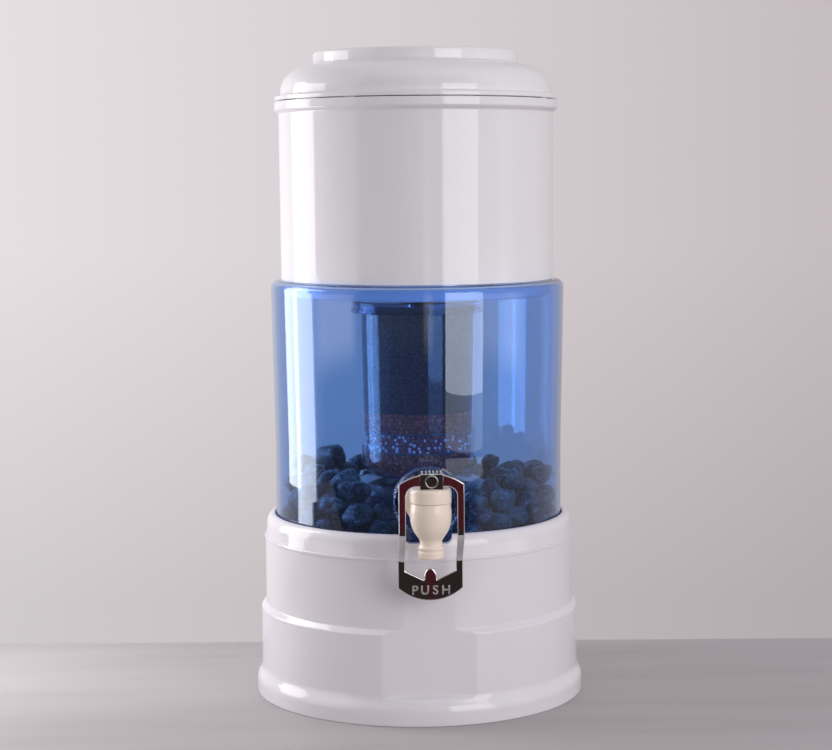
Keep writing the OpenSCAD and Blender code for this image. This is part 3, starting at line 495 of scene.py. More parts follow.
# How each kind of surface varies: size of the broad and the fine noise, spread of the roughness and of the tone, and
# depth of the relief in metres.
moulded = dict(broad=18.0, fine=900.0, spread=0.03, shade=0.04, depth=1.2e-5, ior=1.5)
clear = dict(broad=9.0, fine=260.0, spread=0.01, shade=0.05, depth=4e-6, ior=1.49)
polished = dict(broad=90.0, fine=1500.0, spread=0.05, shade=0.06, depth=3e-6, ior=1.5)
rubbery = dict(broad=150.0, fine=2500.0, depth=4e-5)


# Opaque moulded plastic, rubber or glazed ware: one colour that varies a little with the moulding.
def mouldedFinish(name, colour, rough, kind=moulded, **own):
    values = {**kind, **own}
    material, tree, shader = newMaterial(name)
    made = placeGroup(tree, "skin", Broad=values["broad"], Fine=values["fine"], Rough=rough, Spread=values["spread"],
                      Shade=values["shade"])
    feed(tree, shader, {"Base Color": scaled(tree, colour, made["Tone"]), "Roughness": made["Roughness"],
                        "IOR": values["ior"], "Normal": relief(tree, made["Height"], values["depth"])})
    return material


# Clear plastic: light bends through it, and its shadows carry its tint.
def clearFinish(name, tint, rough, shadow, **own):
    material = mouldedFinish(name, tint, rough, clear, **own)
    tree = material.node_tree
    shader = feed(tree, tree.nodes["Principled BSDF"], {"Transmission Weight": 1.0})
    shade = addNode(tree, "ShaderNodeLightPath").outputs["Is Shadow Ray"]
    through = addNode(tree, "ShaderNodeBsdfTransparent", {"Color": (*shadow, 1)}).outputs[0]
    both = addNode(tree, "ShaderNodeMixShader", {0: shade, 1: shader.outputs[0], 2: through}).outputs[0]
    feed(tree, tree.nodes["Material Output"], {0: both})
    return material


# Polished or brushed metal with faint wipe marks in its roughness.
def metalFinish(name, colour, rough):
    material = mouldedFinish(name, colour, rough, polished)
    material.node_tree.nodes["Principled BSDF"].inputs["Metallic"].default_value = 1.0
    return material


# Stand

# The stand's colour is the white plastic darkened a little: painted shade for the weaker light it gets low down by the
# table.
stand = dict(skirtIn=4.5, bodyIn=8.4, boreIn=17.4, wall=3, deck=142, flareLow=10, flareHigh=24, stepLow=73, stepHigh=77,
             beadLow=132.3, beadHigh=134.7, beadOut=0.6, panel=130, panelLow=22, panelHigh=131.4, panelTurn=(14, 24),
             notchHalf=19, notchDeep=6.7, notchRound=5.5, ribs=8, ribThick=2.5, ribLow=125, hub=20, hubWall=2.5,
             colour=(0.735, 0.70, 0.735), rough=0.09)


# Column angles round a piece: close together at the front and wider apart behind; 0 is the front.
def frontAngles(reach, step, wide, extra=()):
    near = np.arange(-reach, reach + step / 2, step)
    far = np.linspace(reach, 360 - reach, max(3, round((360 - 2 * reach) / wide)) + 1)[1:-1]
    return np.radians(np.sort(np.concatenate([near, far, extra])))


# The stand is a turned wall whose front is held at the flat panel's plane and whose rim is held under the notch's line.
def standShape():
    foot, top = high["base_stand"][0], high["base_stand"][2]
    skirt, body, bore = foot - stand["skirtIn"], foot - stand["bodyIn"], foot - stand["boreIn"]
    deck, wall, flareLow, flareHigh = stand["deck"], stand["wall"], stand["flareLow"], stand["flareHigh"]
    stepLow, stepHigh, beadLow, beadHigh = stand["stepLow"], stand["stepHigh"], stand["beadLow"], stand["beadHigh"]
    bead = body + stand["beadOut"]
    lip = bend((body - 1.4, top - 10), (body - 1.6, top - 3), (bore + 4.5, top), (bore + 1, top), 14)[::-1]
    rise = bend((foot, flareLow), (foot, flareLow + 6), (skirt + 0.5, flareHigh - 6), (skirt, flareHigh), 12)[::-1]
    profile = outline((0, deck), (bore, deck, 1), (bore, top - 1), lip, (body - 0.9, beadHigh), (bead, beadHigh, 0.5),
                      (bead, beadLow, 0.5), (body, beadLow), (body, stepHigh, 1.5), (skirt, stepLow, 2), rise,
                      (foot, 0, 0.8), (foot - wall, 0, 0.6), (foot - wall, flareLow, 2), (skirt - wall, flareHigh, 2),
                      (skirt - wall, stepLow - 1, 1), (body - wall, stepHigh - 1, 1), (body - wall, deck - wall, 1.5),
                      (0, deck - wall))
    profile = divided(supported(profile), 6)
    outside = np.arange(len(profile)) <= np.flatnonzero(profile[:, 1] < 1e-6)[0]
    panel, (turnIn, turnOut) = stand["panel"], stand["panelTurn"]
    # two more columns stand at the notch's ends
    angles = frontAngles(turnOut, 0.3, 2, (-8.44, 8.44))
    grid = turned(profile, angles)
    r = profile[:, 0, None]
    away = np.abs(np.degrees((angles + np.pi) % (2 * np.pi) - np.pi))
    straight = (1 - eased(away, turnIn, turnOut)) * eased(r, 70, 115)
    x = np.sin(angles) * (r + (panel - r) * straight)
    front = np.cos(angles) > 0
    grid[..., 0] = np.where(front, x, grid[..., 0])
    grid[..., 1] = np.where(front, -np.sqrt(np.maximum(r * r - x * x, 0)), grid[..., 1])
    z = grid[..., 2]
    limit = panel - np.where(outside, 0, wall)[:, None]
    gap = grid[..., 1] + limit
    held = (gap + np.sqrt(gap * gap + 0.04)) / 2 - limit
    share = eased(z, stand["panelLow"] - 1.5, stand["panelLow"] + 2)
    share = share * (1 - eased(z, stand["panelHigh"] - 1.2, stand["panelHigh"] + 0.6))
    grid[..., 1] += np.where(front & (gap < 3), (held - grid[..., 1]) * share, 0)
    half, radius = stand["notchHalf"], stand["notchRound"]
    side = np.clip(np.abs(grid[..., 0]) - (half - radius), 0, radius)
    line = top - stand["notchDeep"] + radius - np.sqrt(radius**2 - side**2)
    inNotch = front & (np.abs(grid[..., 0]) <= half + 0.01) & (r > bore - 1)
    grid[..., 2] = np.where(inNotch, np.minimum(z, line), z)
    return skin(grid)


# Under the deck, ribs like spokes stand round a turned hub.
def standRibs():
    end, deck, hub, under = high["base_stand"][0] - stand["bodyIn"] - 3.5, stand["deck"], stand["hub"], stand["ribLow"]
    thick, count = stand["ribThick"] / 2, stand["ribs"]
    rib = outline((hub - 1, -thick, 0.4), (end, -thick, 0.4), (end, thick, 0.4), (hub - 1, thick, 0.4))
    corners, faces = slab(rib, under, deck - stand["wall"] + 0.5, 0.3)
    inside = hub - stand["hubWall"]
    ring = outline((inside, under, 0.5), (hub, under, 0.5), (hub, deck - 2.6), (inside, deck - 2.6))
    return [(spun(corners, 2 * math.pi * (k + 0.5) / count), faces) for k in range(count)] + [
        skin(turned(ring, evenAngles(96)), closeRows=True)]


# Lower tank

tank = dict(wall=3, shoulder=7, shoulderOut=2.4, foot=4, flareFrom=213, mouth=113.4, bossHalf=27.5, bossOut=123,
            bossIn=117, tint=(0.385, 0.585, 0.91), shadow=(0.46, 0.62, 0.95), rough=0.012, ior=1.57)
tankInside = high["lower_tank"][0] - tank["shoulderOut"] - tank["wall"]


# The tank is a solid wall turned from pole to pole; inside a circle round the tap its faces move to two flat planes.
def tankShape():
    out, base, top = roundSize("lower_tank")
    r, wall, floor = out - tank["shoulderOut"], tank["wall"], low["stone_tray"][2]
    c = (out - tank["shoulder"], top - tank["shoulder"])
    near = tapZ - tank["bossHalf"] - 2, tapZ + tank["bossHalf"] + 2
    heights = np.arange(near[0], near[1], 1.1)
    level = np.stack([np.full_like(heights, r), heights], 1)
    outer = np.concatenate([[(0, base)], arc((r - tank["foot"], base + tank["foot"]), tank["foot"], -90, 0),
                            level, [(r, tank["flareFrom"])], arc(c, tank["shoulder"], 0, 90, 9),
                            [(tank["mouth"] + 0.5, top), (tank["mouth"], top - 0.5)]])
    inner = np.concatenate([[(tank["mouth"], top - wall + 0.5), (tank["mouth"] + 0.5, top - wall)],
                            arc(c, tank["shoulder"] - wall, 90, 0, 7), [(r - wall, tank["flareFrom"])],
                            level[::-1] - (wall, 0), arc((r - wall - 1, floor + 1), 1, 0, -90, 4), [(0, floor)]])
    outer, inner = supported(outer), supported(inner)
    profile = np.concatenate([outer, inner])
    angles = frontAngles(15, 0.5, 1.8)
    grid = turned(profile, angles)
    away = np.hypot(grid[..., 0], grid[..., 2] - tapZ)
    front = (grid[..., 1] < 0) & (profile[:, 0, None] > r - wall - 0.5)
    share = 1 - eased(away, tank["bossHalf"] - 1.2, tank["bossHalf"])
    outside = (np.arange(len(profile)) < len(outer))[:, None]
    target = np.where(outside, -tank["bossOut"], np.maximum(grid[..., 1], -tank["bossIn"]))
    grid[..., 1] += np.where(front, (target - grid[..., 1]) * share, 0)
    return skin(grid)


# Tray under the cartridge, with slots for the water

tray = dict(hole=15, wall=2, slots=12, slotWidth=5, slotLow=5, slotHigh=21, slotDeep=0.9, tint=(0.72, 0.84, 0.97),
            shadow=(0.75, 0.85, 0.95), rough=0.08)


# The tray is a turned dish; its columns pinch together over each slot, where the wall is pressed inwards.
def trayShape():
    foot, base, top = roundSize("stone_tray")
    hole, wall, slots, half = tray["hole"], tray["wall"], tray["slots"], tray["slotWidth"] / 2
    side = bend((foot - 7, base + 27), (foot - 9, base + 34), (foot - 18, top), (foot - 24, top), 10)
    inside = bend((foot - 9, base + 25), (foot - 11, base + 32), (foot - 18, top - wall), (foot - 24, top - wall), 10)
    profile = divided(supported(outline((foot - wall, base, 0.4), (foot, base, 0.4), side, (hole, top, 0.6),
                                        (hole, top - wall, 0.6), inside[::-1])), 5)
    angles = evenAngles(288)
    grid = turned(profile, angles)
    across = np.abs((angles * slots / (2 * np.pi) + 0.5) % 1 - 0.5) * 2 * np.pi / slots * (foot - 5)
    z, slotLow, slotHigh = profile[:, 1, None], base + tray["slotLow"], base + tray["slotHigh"]
    share = (1 - eased(across, half - 0.6, half)) * eased(z, slotLow, slotLow + 1)
    share = share * (1 - eased(z, slotHigh - 1, slotHigh)) * (profile[:, 0, None] > foot - 16)
    grid[..., :2] *= (1 - share * tray["slotDeep"] / foot)[..., None]
    return skin(grid, closeRows=True)


# Mineral stones

stones = dict(seed=5, smallest=8.2, largest=12.6, tries=46, most=190, close=0.86, columns=20, rows=12,
              # how high the heap may reach at a turn away from the tap, in degrees and millimetres
              heap=((-180, 197), (-150, 198), (-125, 203), (-60, 208), (-35, 200), (-16, 160), (16, 160), (34, 186),
                    (60, 200), (95, 194), (120, 187), (145, 195), (180, 197)),
              # how boxy, how lumpy, how long, wide and high for its radius, and how tilted a stone may be
              power=(1.9, 3.2), waves=6, waveRate=2.2, lump=0.05, least=(0.92, 0.80, 0.66), greatest=(1.10, 0.98, 0.86),
              tilt=0.30, dark=(0.020, 0.026, 0.038), pale=(0.43, 0.48, 0.49), green=(0.085, 0.115, 0.10), rough=0.16)


# Where each stone lies: of several random places the lowest is kept, resting on the stones already there.
def stonePlaces(draw):
    floor, inside, outside = low["mineral_stones"][2], high["stone_tray"][0] + 1.2, tankInside - 0.6
    turns, heights = np.array(stones["heap"]).T
    laid = np.zeros((0, 4))
    while len(laid) < stones["most"]:
        count = stones["tries"]
        r = np.full(count, draw.uniform(stones["smallest"], stones["largest"]))
        turn = draw.uniform(-np.pi, np.pi, count)
        out = draw.uniform(inside + r * 0.80, outside - r * 0.92)
        x, y = out * np.sin(turn), -out * np.cos(turn)
        z = floor + r * 0.8
        if len(laid):
            reach = (r[:, None] + laid[None, :, 3]) * stones["close"]
            apart = np.hypot(x[:, None] - laid[None, :, 0], y[:, None] - laid[None, :, 1])
            over = laid[None, :, 2] + np.sqrt(np.maximum(reach**2 - apart**2, 0))
            z = np.maximum(z, np.where(apart < reach, over, 0).max(1))
        room = np.interp(np.degrees(turn), turns, heights) - z - r * 0.85
        z = np.where(room > 0, z, np.inf)
        best = np.argmin(z)
        if np.isinf(z[best]):
            break
        laid = np.vstack([laid, (x[best], y[best], z[best], r[best])])
    return laid


# Each stone is a swollen box: the reach in a direction is the three sizes' power sum, roughened by a few slow waves.
def stoneShapes():
    draw = np.random.default_rng(stones["seed"])
    laid = stonePlaces(draw)
    count = len(laid)
    way = ballGrid(stones["rows"], stones["columns"])
    power = draw.uniform(*stones["power"], (count, 1, 1, 1))
    reach = np.sum(np.abs(way)[None] ** power, -1, keepdims=True) ** (-1 / power)
    waves = draw.normal(0, stones["waveRate"], (count, stones["waves"], 3))
    start = draw.uniform(0, 6.3, (count, stones["waves"]))
    lumps = np.sin(np.einsum("rcx,nwx->nrcw", way, waves) + start[:, None, None, :]).sum(-1)[..., None]
    body = way[None] * reach * (0.93 + stones["lump"] * lumps)
    sizes = laid[:, 3, None] * draw.uniform(stones["least"], stones["greatest"], (count, 3))
    x, y, z = np.moveaxis(body * sizes[:, None, None, :], -1, 0)
    tilt = draw.normal(0, stones["tilt"], count)[:, None, None]
    spin = draw.uniform(0, 2 * np.pi, count)[:, None, None]
    x, z = x * np.cos(tilt) - z * np.sin(tilt), x * np.sin(tilt) + z * np.cos(tilt)
    x, y = x * np.cos(spin) - y * np.sin(spin), x * np.sin(spin) + y * np.cos(spin)
    body = np.stack([x, y, z], -1) + laid[:, None, None, :3]
    # a stone that would reach past the tank's wall, into the tray or under the floor is drawn back
    out = np.hypot(body[..., 0], body[..., 1])
    held = np.clip(out, high["stone_tray"][0] + 0.4, tankInside - 0.5)
    body[..., :2] *= (held / out)[..., None]
    body[..., 2] = np.maximum(body[..., 2], low["mineral_stones"][2] + 0.02)
    return [skin(one) for one in body]


def stoneFinish():
    material, tree, shader = newMaterial("riverStone")
    place, veinPlace = objectPlace(tree), objectPlace(tree, (1, 2.4, 1), (0.5, 0.3, 0.8))
    broad, fine = noise(tree, place, 62.0, 6.0), noise(tree, place, 480.0, 4.0)
    veins = noise(tree, veinPlace, 150.0, 5.0, 1.8)
    colour = blended(tree, ranged(tree, broad, 0.44, 0.60), stones["dark"], stones["green"])
    colour = blended(tree, ranged(tree, veins, 0.56, 0.74, 0, 0.75), colour, stones["pale"])
    colour = blended(tree, ranged(tree, fine, 0.60, 0.72, 0, 0.6), colour, stones["pale"])
    rough = ranged(tree, broad, 0.3, 0.7, stones["rough"], stones["rough"] + 0.3)
    height = plus(tree, plus(tree, broad, fine, 0.35), veins, 0.5)
    feed(tree, shader, {"Base Color": colour, "Roughness": rough, "Normal": relief(tree, height, 0.0011)})
    return material


# Tap

tap = dict(arm=9, flange=18.5, flangeThick=3.5, shank=8, bore=5, water=4, thread=13.5, throat=8.75, barrel=16.4,
           ring=10.2, chamber=11, seatUp=25.3, seatBore=8.2, bonnetEdge=3.0, bonnetBore=3.1, bonnetInside=13.6,
           washerBore=8.2, nutBore=8.25, nutTrim=1.1, colour=(0.84, 0.715, 0.60), rough=0.27)


# The barrel is a turned wall round its chamber: two rings at the outlet, a waist, and a bulge up to the thread.
def barrelShape():
    foot, bonnetFoot, thread = low["tap_body"][2], low["tap_bonnet"][2], high["bonnet_gasket"][2] - 1
    ring, throat, wide, bore, chamber = [tap[key] for key in ("ring", "throat", "barrel", "bore", "chamber")]
    seat, seatBore = foot + tap["seatUp"], tap["seatBore"]
    outside = np.concatenate([
        arc((ring - 1.5, foot + 1.5), 1.5, -90, 0), arc((ring - 1.5, foot + 4.6), 1.5, 0, 60),
        arc((ring - 1.6, foot + 8.4), 1.6, -60, 60), [(throat, foot + 11), (throat, foot + 12.6)],
        bend((throat, foot + 13.5), (throat + 0.2, foot + 17.6), (wide - 0.1, foot + 19.9), (wide, tapZ - 4.4), 18),
        bend((wide, tapZ - 2.4), (wide, tapZ + 1), (wide - 1, bonnetFoot - 2), (wide - 1, bonnetFoot - 0.2), 8)])
    inside = [(tap["thread"], bonnetFoot - 0.2), (tap["thread"], thread), (chamber, thread), (chamber, seat + 9),
              (seatBore, seat + 5), (seatBore, seat), (bore, seat), (bore, foot + 0.5), (bore + 0.5, foot)]
    return ringShape(np.concatenate([outside, inside]), 128, (0, barrelY))


# The arm, flange and shank are one profile round the tap's level axis; the arm's top is held under the bonnet's skirt.
def armShape():
    face, end, start = low["tap_outer_washer"][1], high["tap_body"][1], barrelY + 9
    arm, shank, flange, water, plate = tap["arm"], tap["shank"], tap["flange"], tap["water"], face - tap["flangeThick"]
    steps = np.linspace(start, plate - 3, 24)
    profile = np.concatenate([[(0, start)], np.stack([np.full_like(steps, arm), steps], 1),
                              arc((arm + 2, plate - 2), 2, 180, 90), arc((flange - 1, plate + 1), 1, -90, 0),
                              arc((flange - 0.5, face - 0.5), 0.5, 0, 90, 4),
                              [(shank, face), (shank, end - 0.6), (shank - 0.6, end), (water, end), (water, face),
                               (0, face)]])
    grid = turnedLevel(supported(profile), evenAngles(96), tapZ)
    skirt = np.hypot(grid[..., 0], grid[..., 1] - barrelY) < high["tap_bonnet"][0] + 0.4
    grid[..., 2] = np.where(skirt, np.minimum(grid[..., 2], low["tap_bonnet"][2] - 0.2), grid[..., 2])
    return skin(grid)


# The bonnet is a turned cap: a bored top, a straight side with an eased rim, and a hollow for the thread.
def bonnetShape():
    r, foot, top = roundSize("tap_bonnet")
    bore, inside = tap["bonnetBore"], tap["bonnetInside"]
    return ringShape(outline((bore, top - 3), (inside, top - 3), (inside, foot), (r, foot, 0.8),
                             (r, top, tap["bonnetEdge"]), (bore, top, 0.3)), 128, (0, barrelY))


# A washer is a turned ring about the tap's level axis, with eased corners.
def washerShape(name):
    near, far, r, bore = low[name][1], high[name][1], high[name][0], tap["washerBore"]
    return ringShape(outline((bore, near, 0.3), (r, near, 0.5), (r, far, 0.5), (bore, far, 0.3)), 96, z=tapZ)


# The nut is six flats whose corners are eased, with its face corners turned off.
def nutShape():
    near, far, corner, trim = low["tap_nut"][1], high["tap_nut"][1], high["tap_nut"][0], tap["nutTrim"]
    angles, sixth = evenAngles(144), math.pi / 6
    reach = corner * math.cos(sixth) / np.cos((angles + math.pi / 2 + sixth) % (2 * sixth) - sixth)
    reach = np.minimum(reach, corner - 0.25)
    y = np.array([near, near, near + 1.2, far - 1.2, far, far])[:, None]
    most = corner - np.array([0, trim, 0, 0, trim, 0])[:, None]
    r = np.where(np.array([0, 1, 1, 1, 1, 0])[:, None] > 0, np.minimum(reach, most), tap["nutBore"])
    return skin(np.stack([r * np.sin(angles), y + 0 * r, tapZ - r * np.cos(angles)], -1), closeRows=True)


# Valve spring

spring = dict(r=5.5, wire=0.5, turns=6, travel=2.2, steps=28, sides=10)
springAxis = (low["tap_bonnet"] + high["tap_bonnet"]) / 2


# The wire is a circle carried round an upright axis, rising slowly in the first and last turn and fast between them.
def springShape():
    wire, turns = spring["wire"], spring["turns"]
    base, top = low["valve_spring"][2] + wire, high["valve_spring"][2] - wire
    t = np.linspace(0, 1, spring["steps"] * turns + 1)
    flat = np.clip(t * turns, 0, 1) + np.clip(t * turns - turns + 1, 0, 1)
    z = base + (top - base - 4 * wire) * np.clip((t * turns - 1) / (turns - 2), 0, 1) + 2 * wire * flat
    # each end is closed by one more row, drawn in to a point
    t, z = [np.concatenate([line[:1], line, line[-1:]])[:, None] for line in (t, z)]
    thick = np.where((np.arange(len(t)) % (len(t) - 1)) > 0, wire, 0)[:, None]
    around, about = 2 * np.pi * turns * t, evenAngles(spring["sides"])[::-1]
    reach = spring["r"] + thick * np.cos(about)
    return skin(np.stack([springAxis[0] + reach * np.cos(around), springAxis[1] + reach * np.sin(around),
                          z + thick * np.sin(about)], -1))


# Lever

lever = dict(front=-172, arm=5.4, thick=2.5, bendTop=159.2, bendFoot=139.7, setBack=18, crown=209.0, topDrop=8.2,
             footRise=10.1, windowTop=198.8, windowRound=8, windowSide=129.5, veeHalf=5.1, veeLow=122.1,
             tongueTop=131.2, edge=0.75, backEdge=0.35, hollow=0.5, badgeHalf=9.1, badgeLow=196.35, badgeProud=0.35,
             badgeTilt=0.5, ribs=6, ribHalf=0.6, ribStep=2.9, ring=5.1, ringThick=0.8,
             # a capital is 0.72 of the letters' size high
             letter=7.3, letterShare=0.72, letterZ=110.7, letterX=(-12.5, -4.5, 3.8, 12.1), letterRise=0.35,
             letterHeavy=0.07, letterEdge=0.08,
             colour=(0.80, 0.79, 0.785), rough=0.045)


# Depth of the lever's front face at a height: straight, bent back under the bonnet, and straight again.
def leverFront(z):
    def soft(u):
        return (u + np.sqrt(u * u + 1.44)) / 2
    slope = lever["setBack"] / (lever["bendTop"] - lever["bendFoot"])
    return lever["front"] + slope * (soft(lever["bendTop"] - z) - soft(lever["bendFoot"] - z))


# The way to the right of travel at each point of a closed line.
def rightOf(line):
    along = np.roll(line, -1, axis=0) - np.roll(line, 1, axis=0)
    along /= np.linalg.norm(along, axis=1)[:, None]
    return np.stack([along[:, 1], -along[:, 0]], 1)


# The loop runs round its window: stations pair a point of the outer line with one of the window's, the strip's front is
# drawn straight between them, and each edge turns back along a quarter circle square to its own line.
def loopShape():
    half, top, foot = high["tap_lever"][0], lever["crown"], low["tap_lever"][2]
    inner = half - lever["arm"]
    corner = lever["windowRound"]

    def bow(rise, z, way):
        radius = (half**2 + rise**2) / (2 * rise)
        x = np.linspace(0, half, 60)
        return np.stack([x, z + way * (radius - np.sqrt(radius**2 - x * x))], 1)

    outTop, outFoot = bow(lever["topDrop"], top, -1), bow(lever["footRise"], foot, 1)[::-1]
    inTop = np.concatenate([[(0, lever["windowTop"])],
                            arc((inner - corner, lever["windowTop"] - corner), corner, 90, 0, 14)])
    x, z, tip = lever["veeHalf"], lever["veeLow"], lever["tongueTop"]
    inFoot = outline((inner, lever["windowSide"] + 4), (inner, lever["windowSide"], 1.2), (x, z, 0.45),
                     (x - 0.6, z + 0.9), steps=4)
    inFoot = np.concatenate([inFoot, bend((x - 0.6, z + 0.9), (x + 0.5, z + 4.1), (3.4, tip), (0, tip), 20)[1:]])
    runs = [(outTop, inTop, 60), (np.array([outTop[-1], outFoot[0]]), np.array([inTop[-1], inFoot[0]]), 90),
            (outFoot, inFoot, 110)]
    out = np.concatenate([resampled(a, n)[:-1] for a, b, n in runs] + [outFoot[-1:]])
    ins = np.concatenate([resampled(b, n)[:-1] for a, b, n in runs] + [inFoot[-1:]])
    out, ins = [np.concatenate([side, side[-2:0:-1] * (-1, 1)]) for side in (out, ins)]
    outWay, insWay = rightOf(out), -rightOf(ins)
    e, thick, back = lever["edge"], lever["thick"], lever["backEdge"]
    quarter = np.linspace(0, np.pi / 2, 4)
    rows = [(out + back * outWay, thick), (out, thick - back)]
    rows += [(out + e * (1 - math.cos(q)) * outWay, e * (1 - math.sin(q))) for q in quarter]
    first, last = out + (e + 0.12) * outWay, ins + (e + 0.12) * insWay
    rows += [(first + (last - first) * share, 0) for share in np.linspace(0, 1, 8)]
    rows += [(ins + e * (1 - math.cos(q)) * insWay, e * (1 - math.sin(q))) for q in quarter[::-1]]
    rows += [(ins, thick - back), (ins + back * insWay, thick)]
    place = np.stack([row for row, deep in rows])
    deep = np.array([deep for row, deep in rows])[:, None]
    plate = (1 - eased(place[..., 1], tip + 1, tip + 18)) * (deep <= e)
    y = leverFront(place[..., 1]) + deep + plate * lever["hollow"] * (1 - (place[..., 0] / half) ** 2)
    grid = np.stack([place[..., 0], y, place[..., 1]], -1)
    return skin(grid, closeRows=True)


# The badge block over the spindle: a bar whose front leans a little down, with finger ribs on top and a plain ring.
def saddleShapes():
    half, bottom, top = lever["badgeHalf"], lever["badgeLow"], lever["crown"]
    proud, back, front = low["tap_lever"][1], high["tap_lever"][1], lever["front"]
    face = front - lever["badgeProud"]
    side = outline((face + lever["badgeTilt"], bottom, 0.3), (face, top - 0.25, 0.5), (back, top - 0.25, 4),
                   (back, bottom, 0.5))
    shapes = [slab(supported(side, closed=True), -half, half, 0.4, axes=(1, 2, 0))]
    rib = outline((front + 1.4, top - 1), (front + 2.6, top + 2, 0.6), (back - 7, top + 2, 3), (back - 3.5, top - 1))
    for k in range(lever["ribs"]):
        x = (k - (lever["ribs"] - 1) / 2) * lever["ribStep"]
        shapes.append(slab(rib, x - lever["ribHalf"], x + lever["ribHalf"], 0.3, axes=(1, 2, 0)))
    r, inside = lever["ring"], lever["ring"] - lever["ringThick"]
    hoop = outline((inside, front + 0.6), (inside, proud, 0.2), (r, proud, 0.2), (r, front + 0.6))
    return shapes + [ringShape(hoop, 72, z=(bottom + top) / 2)]


# Each letter is a solid of its own on the push plate, as a plain working word.
def letterPieces(material):
    half = high["tap_lever"][0]
    for index, (mark, x) in enumerate(zip("PUSH", lever["letterX"])):
        text = bpy.data.curves.new("letter" + mark, "FONT")
        text.body = mark
        text.align_x = "CENTER"
        text.size = lever["letter"] * mm / lever["letterShare"]
        text.offset = lever["letterHeavy"] * mm
        text.extrude = lever["letterRise"] * mm / 2
        text.bevel_depth = lever["letterEdge"] * mm
        text.bevel_resolution = 1
        holder = placed("letter" + mark, text)
        bpy.context.view_layer.update()
        mesh = bpy.data.meshes.new_from_object(holder.evaluated_get(bpy.context.evaluated_depsgraph_get()))
        bpy.data.objects.remove(holder)
        face = lever["front"] + lever["setBack"] + lever["hollow"] * (1 - (x / half) ** 2)
        mesh.transform(Matrix.Translation((x * mm, (face + 0.1) * mm, lever["letterZ"] * mm))
                       @ Matrix.Rotation(math.radians(90), 4, "X"))
        coat(mesh, material)
        piece = placed("pushLetter" + str(index + 1), mesh)
        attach(piece, "tap_lever")


# Upper tank and lid

upper = dict(plug=113.0, side=115.2, mouth=112.9, wall=3, hole=6.5, collarHigh=8.8, colour=(0.80, 0.775, 0.80),
             rough=0.07)


# The upper tank is a turned wall: a plug with a bored floor, a ledge, a straight side and a flared collar.
def upperShape():
    collar, base, rim = roundSize("upper_tank")
    plug, side, mouth, wall, hole = [upper[key] for key in ("plug", "side", "mouth", "wall", "hole")]
    ledge, shoulder = high["lower_tank"][2], rim - upper["collarHigh"]
    flare = bend((side + 0.7, shoulder - 1.5), (side + 1, shoulder), (side + 2.7, shoulder),
                 (collar, shoulder + 2.5), 8)
    profile = outline((hole, base, 0.4), (plug, base, 2), (plug, ledge), (side, ledge, 0.5), flare,
                      (collar, rim, 0.5), (mouth, rim, 0.6), (mouth, shoulder), (mouth - 0.7, ledge + 4),
                      (plug - wall, ledge), (plug - wall, base + wall, 1), (hole, base + wall, 0.4))
    return skin(turned(divided(supported(profile, closed=True), 12, True), evenAngles(240)), closeRows=True)


lid = dict(wall=2.5, lip=3.6, crease=1.5, ring=112.4, grip=86.3, gripHigh=9.9, gripRound=2.2, fillet=0.7, pads=4,
           padTurn=-30, padHalf=4, padHigh=0.7, padSunk=0.8, vent=0.8, colour=(0.80, 0.785, 0.80), rough=0.07)


# The lid is a turned shell: lip, crease, a curve up to the grip, and inside it the ring that locates it, on small pads.
def lidShapes():
    edge, base, top = roundSize("lid")
    wall, grip, ring, crease, fillet = [lid[key] for key in ("wall", "grip", "ring", "crease", "fillet")]
    seat = high["upper_tank"][2] + lid["vent"]
    lip, shoulder, side = seat + lid["lip"], top - lid["gripHigh"], edge - 5
    over = bend((side, lip + crease + 0.3), (side, lip + 16.4), (105.5, shoulder - 3.2),
                (grip + 0.7, shoulder - 0.15), 22)[::-1]
    under = bend((side - wall, lip + 1.2), (side - wall, lip + 13), (103, shoulder - 5.7),
                 (grip - 2.3, shoulder - wall), 16)
    profile = outline((0, top), (grip, top, lid["gripRound"]), (grip, shoulder + fillet),
                      arc((grip + fillet, shoulder + fillet), fillet, 190, 262, 4), over,
                      arc((side + crease, lip + crease), crease, 180, 270, 6),
                      (edge - 0.3, lip, 0.6), (edge, seat, 0.5), (ring, seat), (ring, base, 0.5),
                      (ring - wall, base, 0.5), (ring - wall, lip), under, (grip - wall, top - wall, 1.7),
                      (0, top - wall))
    near, far, half = ring - 1, edge - 1.5, lid["padHalf"]
    pad = outline((near, -half, 0.5), (far, -half, 0.5), (far, half, 0.5), (near, half, 0.5))
    corners, faces = slab(pad, seat - lid["padHigh"], seat + lid["padSunk"], 0.2)
    turns = [math.radians(lid["padTurn"] + 360 * k / lid["pads"]) for k in range(lid["pads"])]
    return [skin(turned(supported(profile), evenAngles(240)))] + [(spun(corners, turn), faces) for turn in turns]


# Ceramic dome filter

dome = dict(wall=8, trough=347.0, troughIn=37.8, troughOut=46.2, stem=6, stemBore=3, colour=(0.83, 0.80, 0.74),
            rough=0.65)


# The dome is a turned shell: a straight wall under half a ball, and the same again inside it.
def domeShape():
    r, base, top = roundSize("ceramic_dome")
    middle, inside = top - r, r - dome["wall"]
    profile = np.concatenate([[(r, base)], arc((0, middle), r, 0, 90, 24), arc((0, middle), inside, 90, 0, 20),
                              [(inside, base)]])
    profile[:, 0] = np.maximum(profile[:, 0], 0)
    return skin(turned(supported(profile), evenAngles(128)), closeRows=True)


# The dome's base is a turned plate with a hollow stem below and a ring-shaped trough for the dome.
def domeBaseShape():
    r, foot, top = roundSize("dome_base")
    base, bore, stem = high["dome_washer"][2], dome["stemBore"], dome["stem"]
    inside, outside, middle = dome["troughIn"], dome["troughOut"], dome["trough"]
    return ringShape(outline((bore, foot, 0.2), (stem, foot, 0.4), (stem, base, 0.4), (r, base, 1), (r, top, 1),
                             (outside, top, 0.3), (outside, middle), (inside, middle), (inside, top, 0.3),
                             (bore, top, 0.3)), 128)


# Cartridge

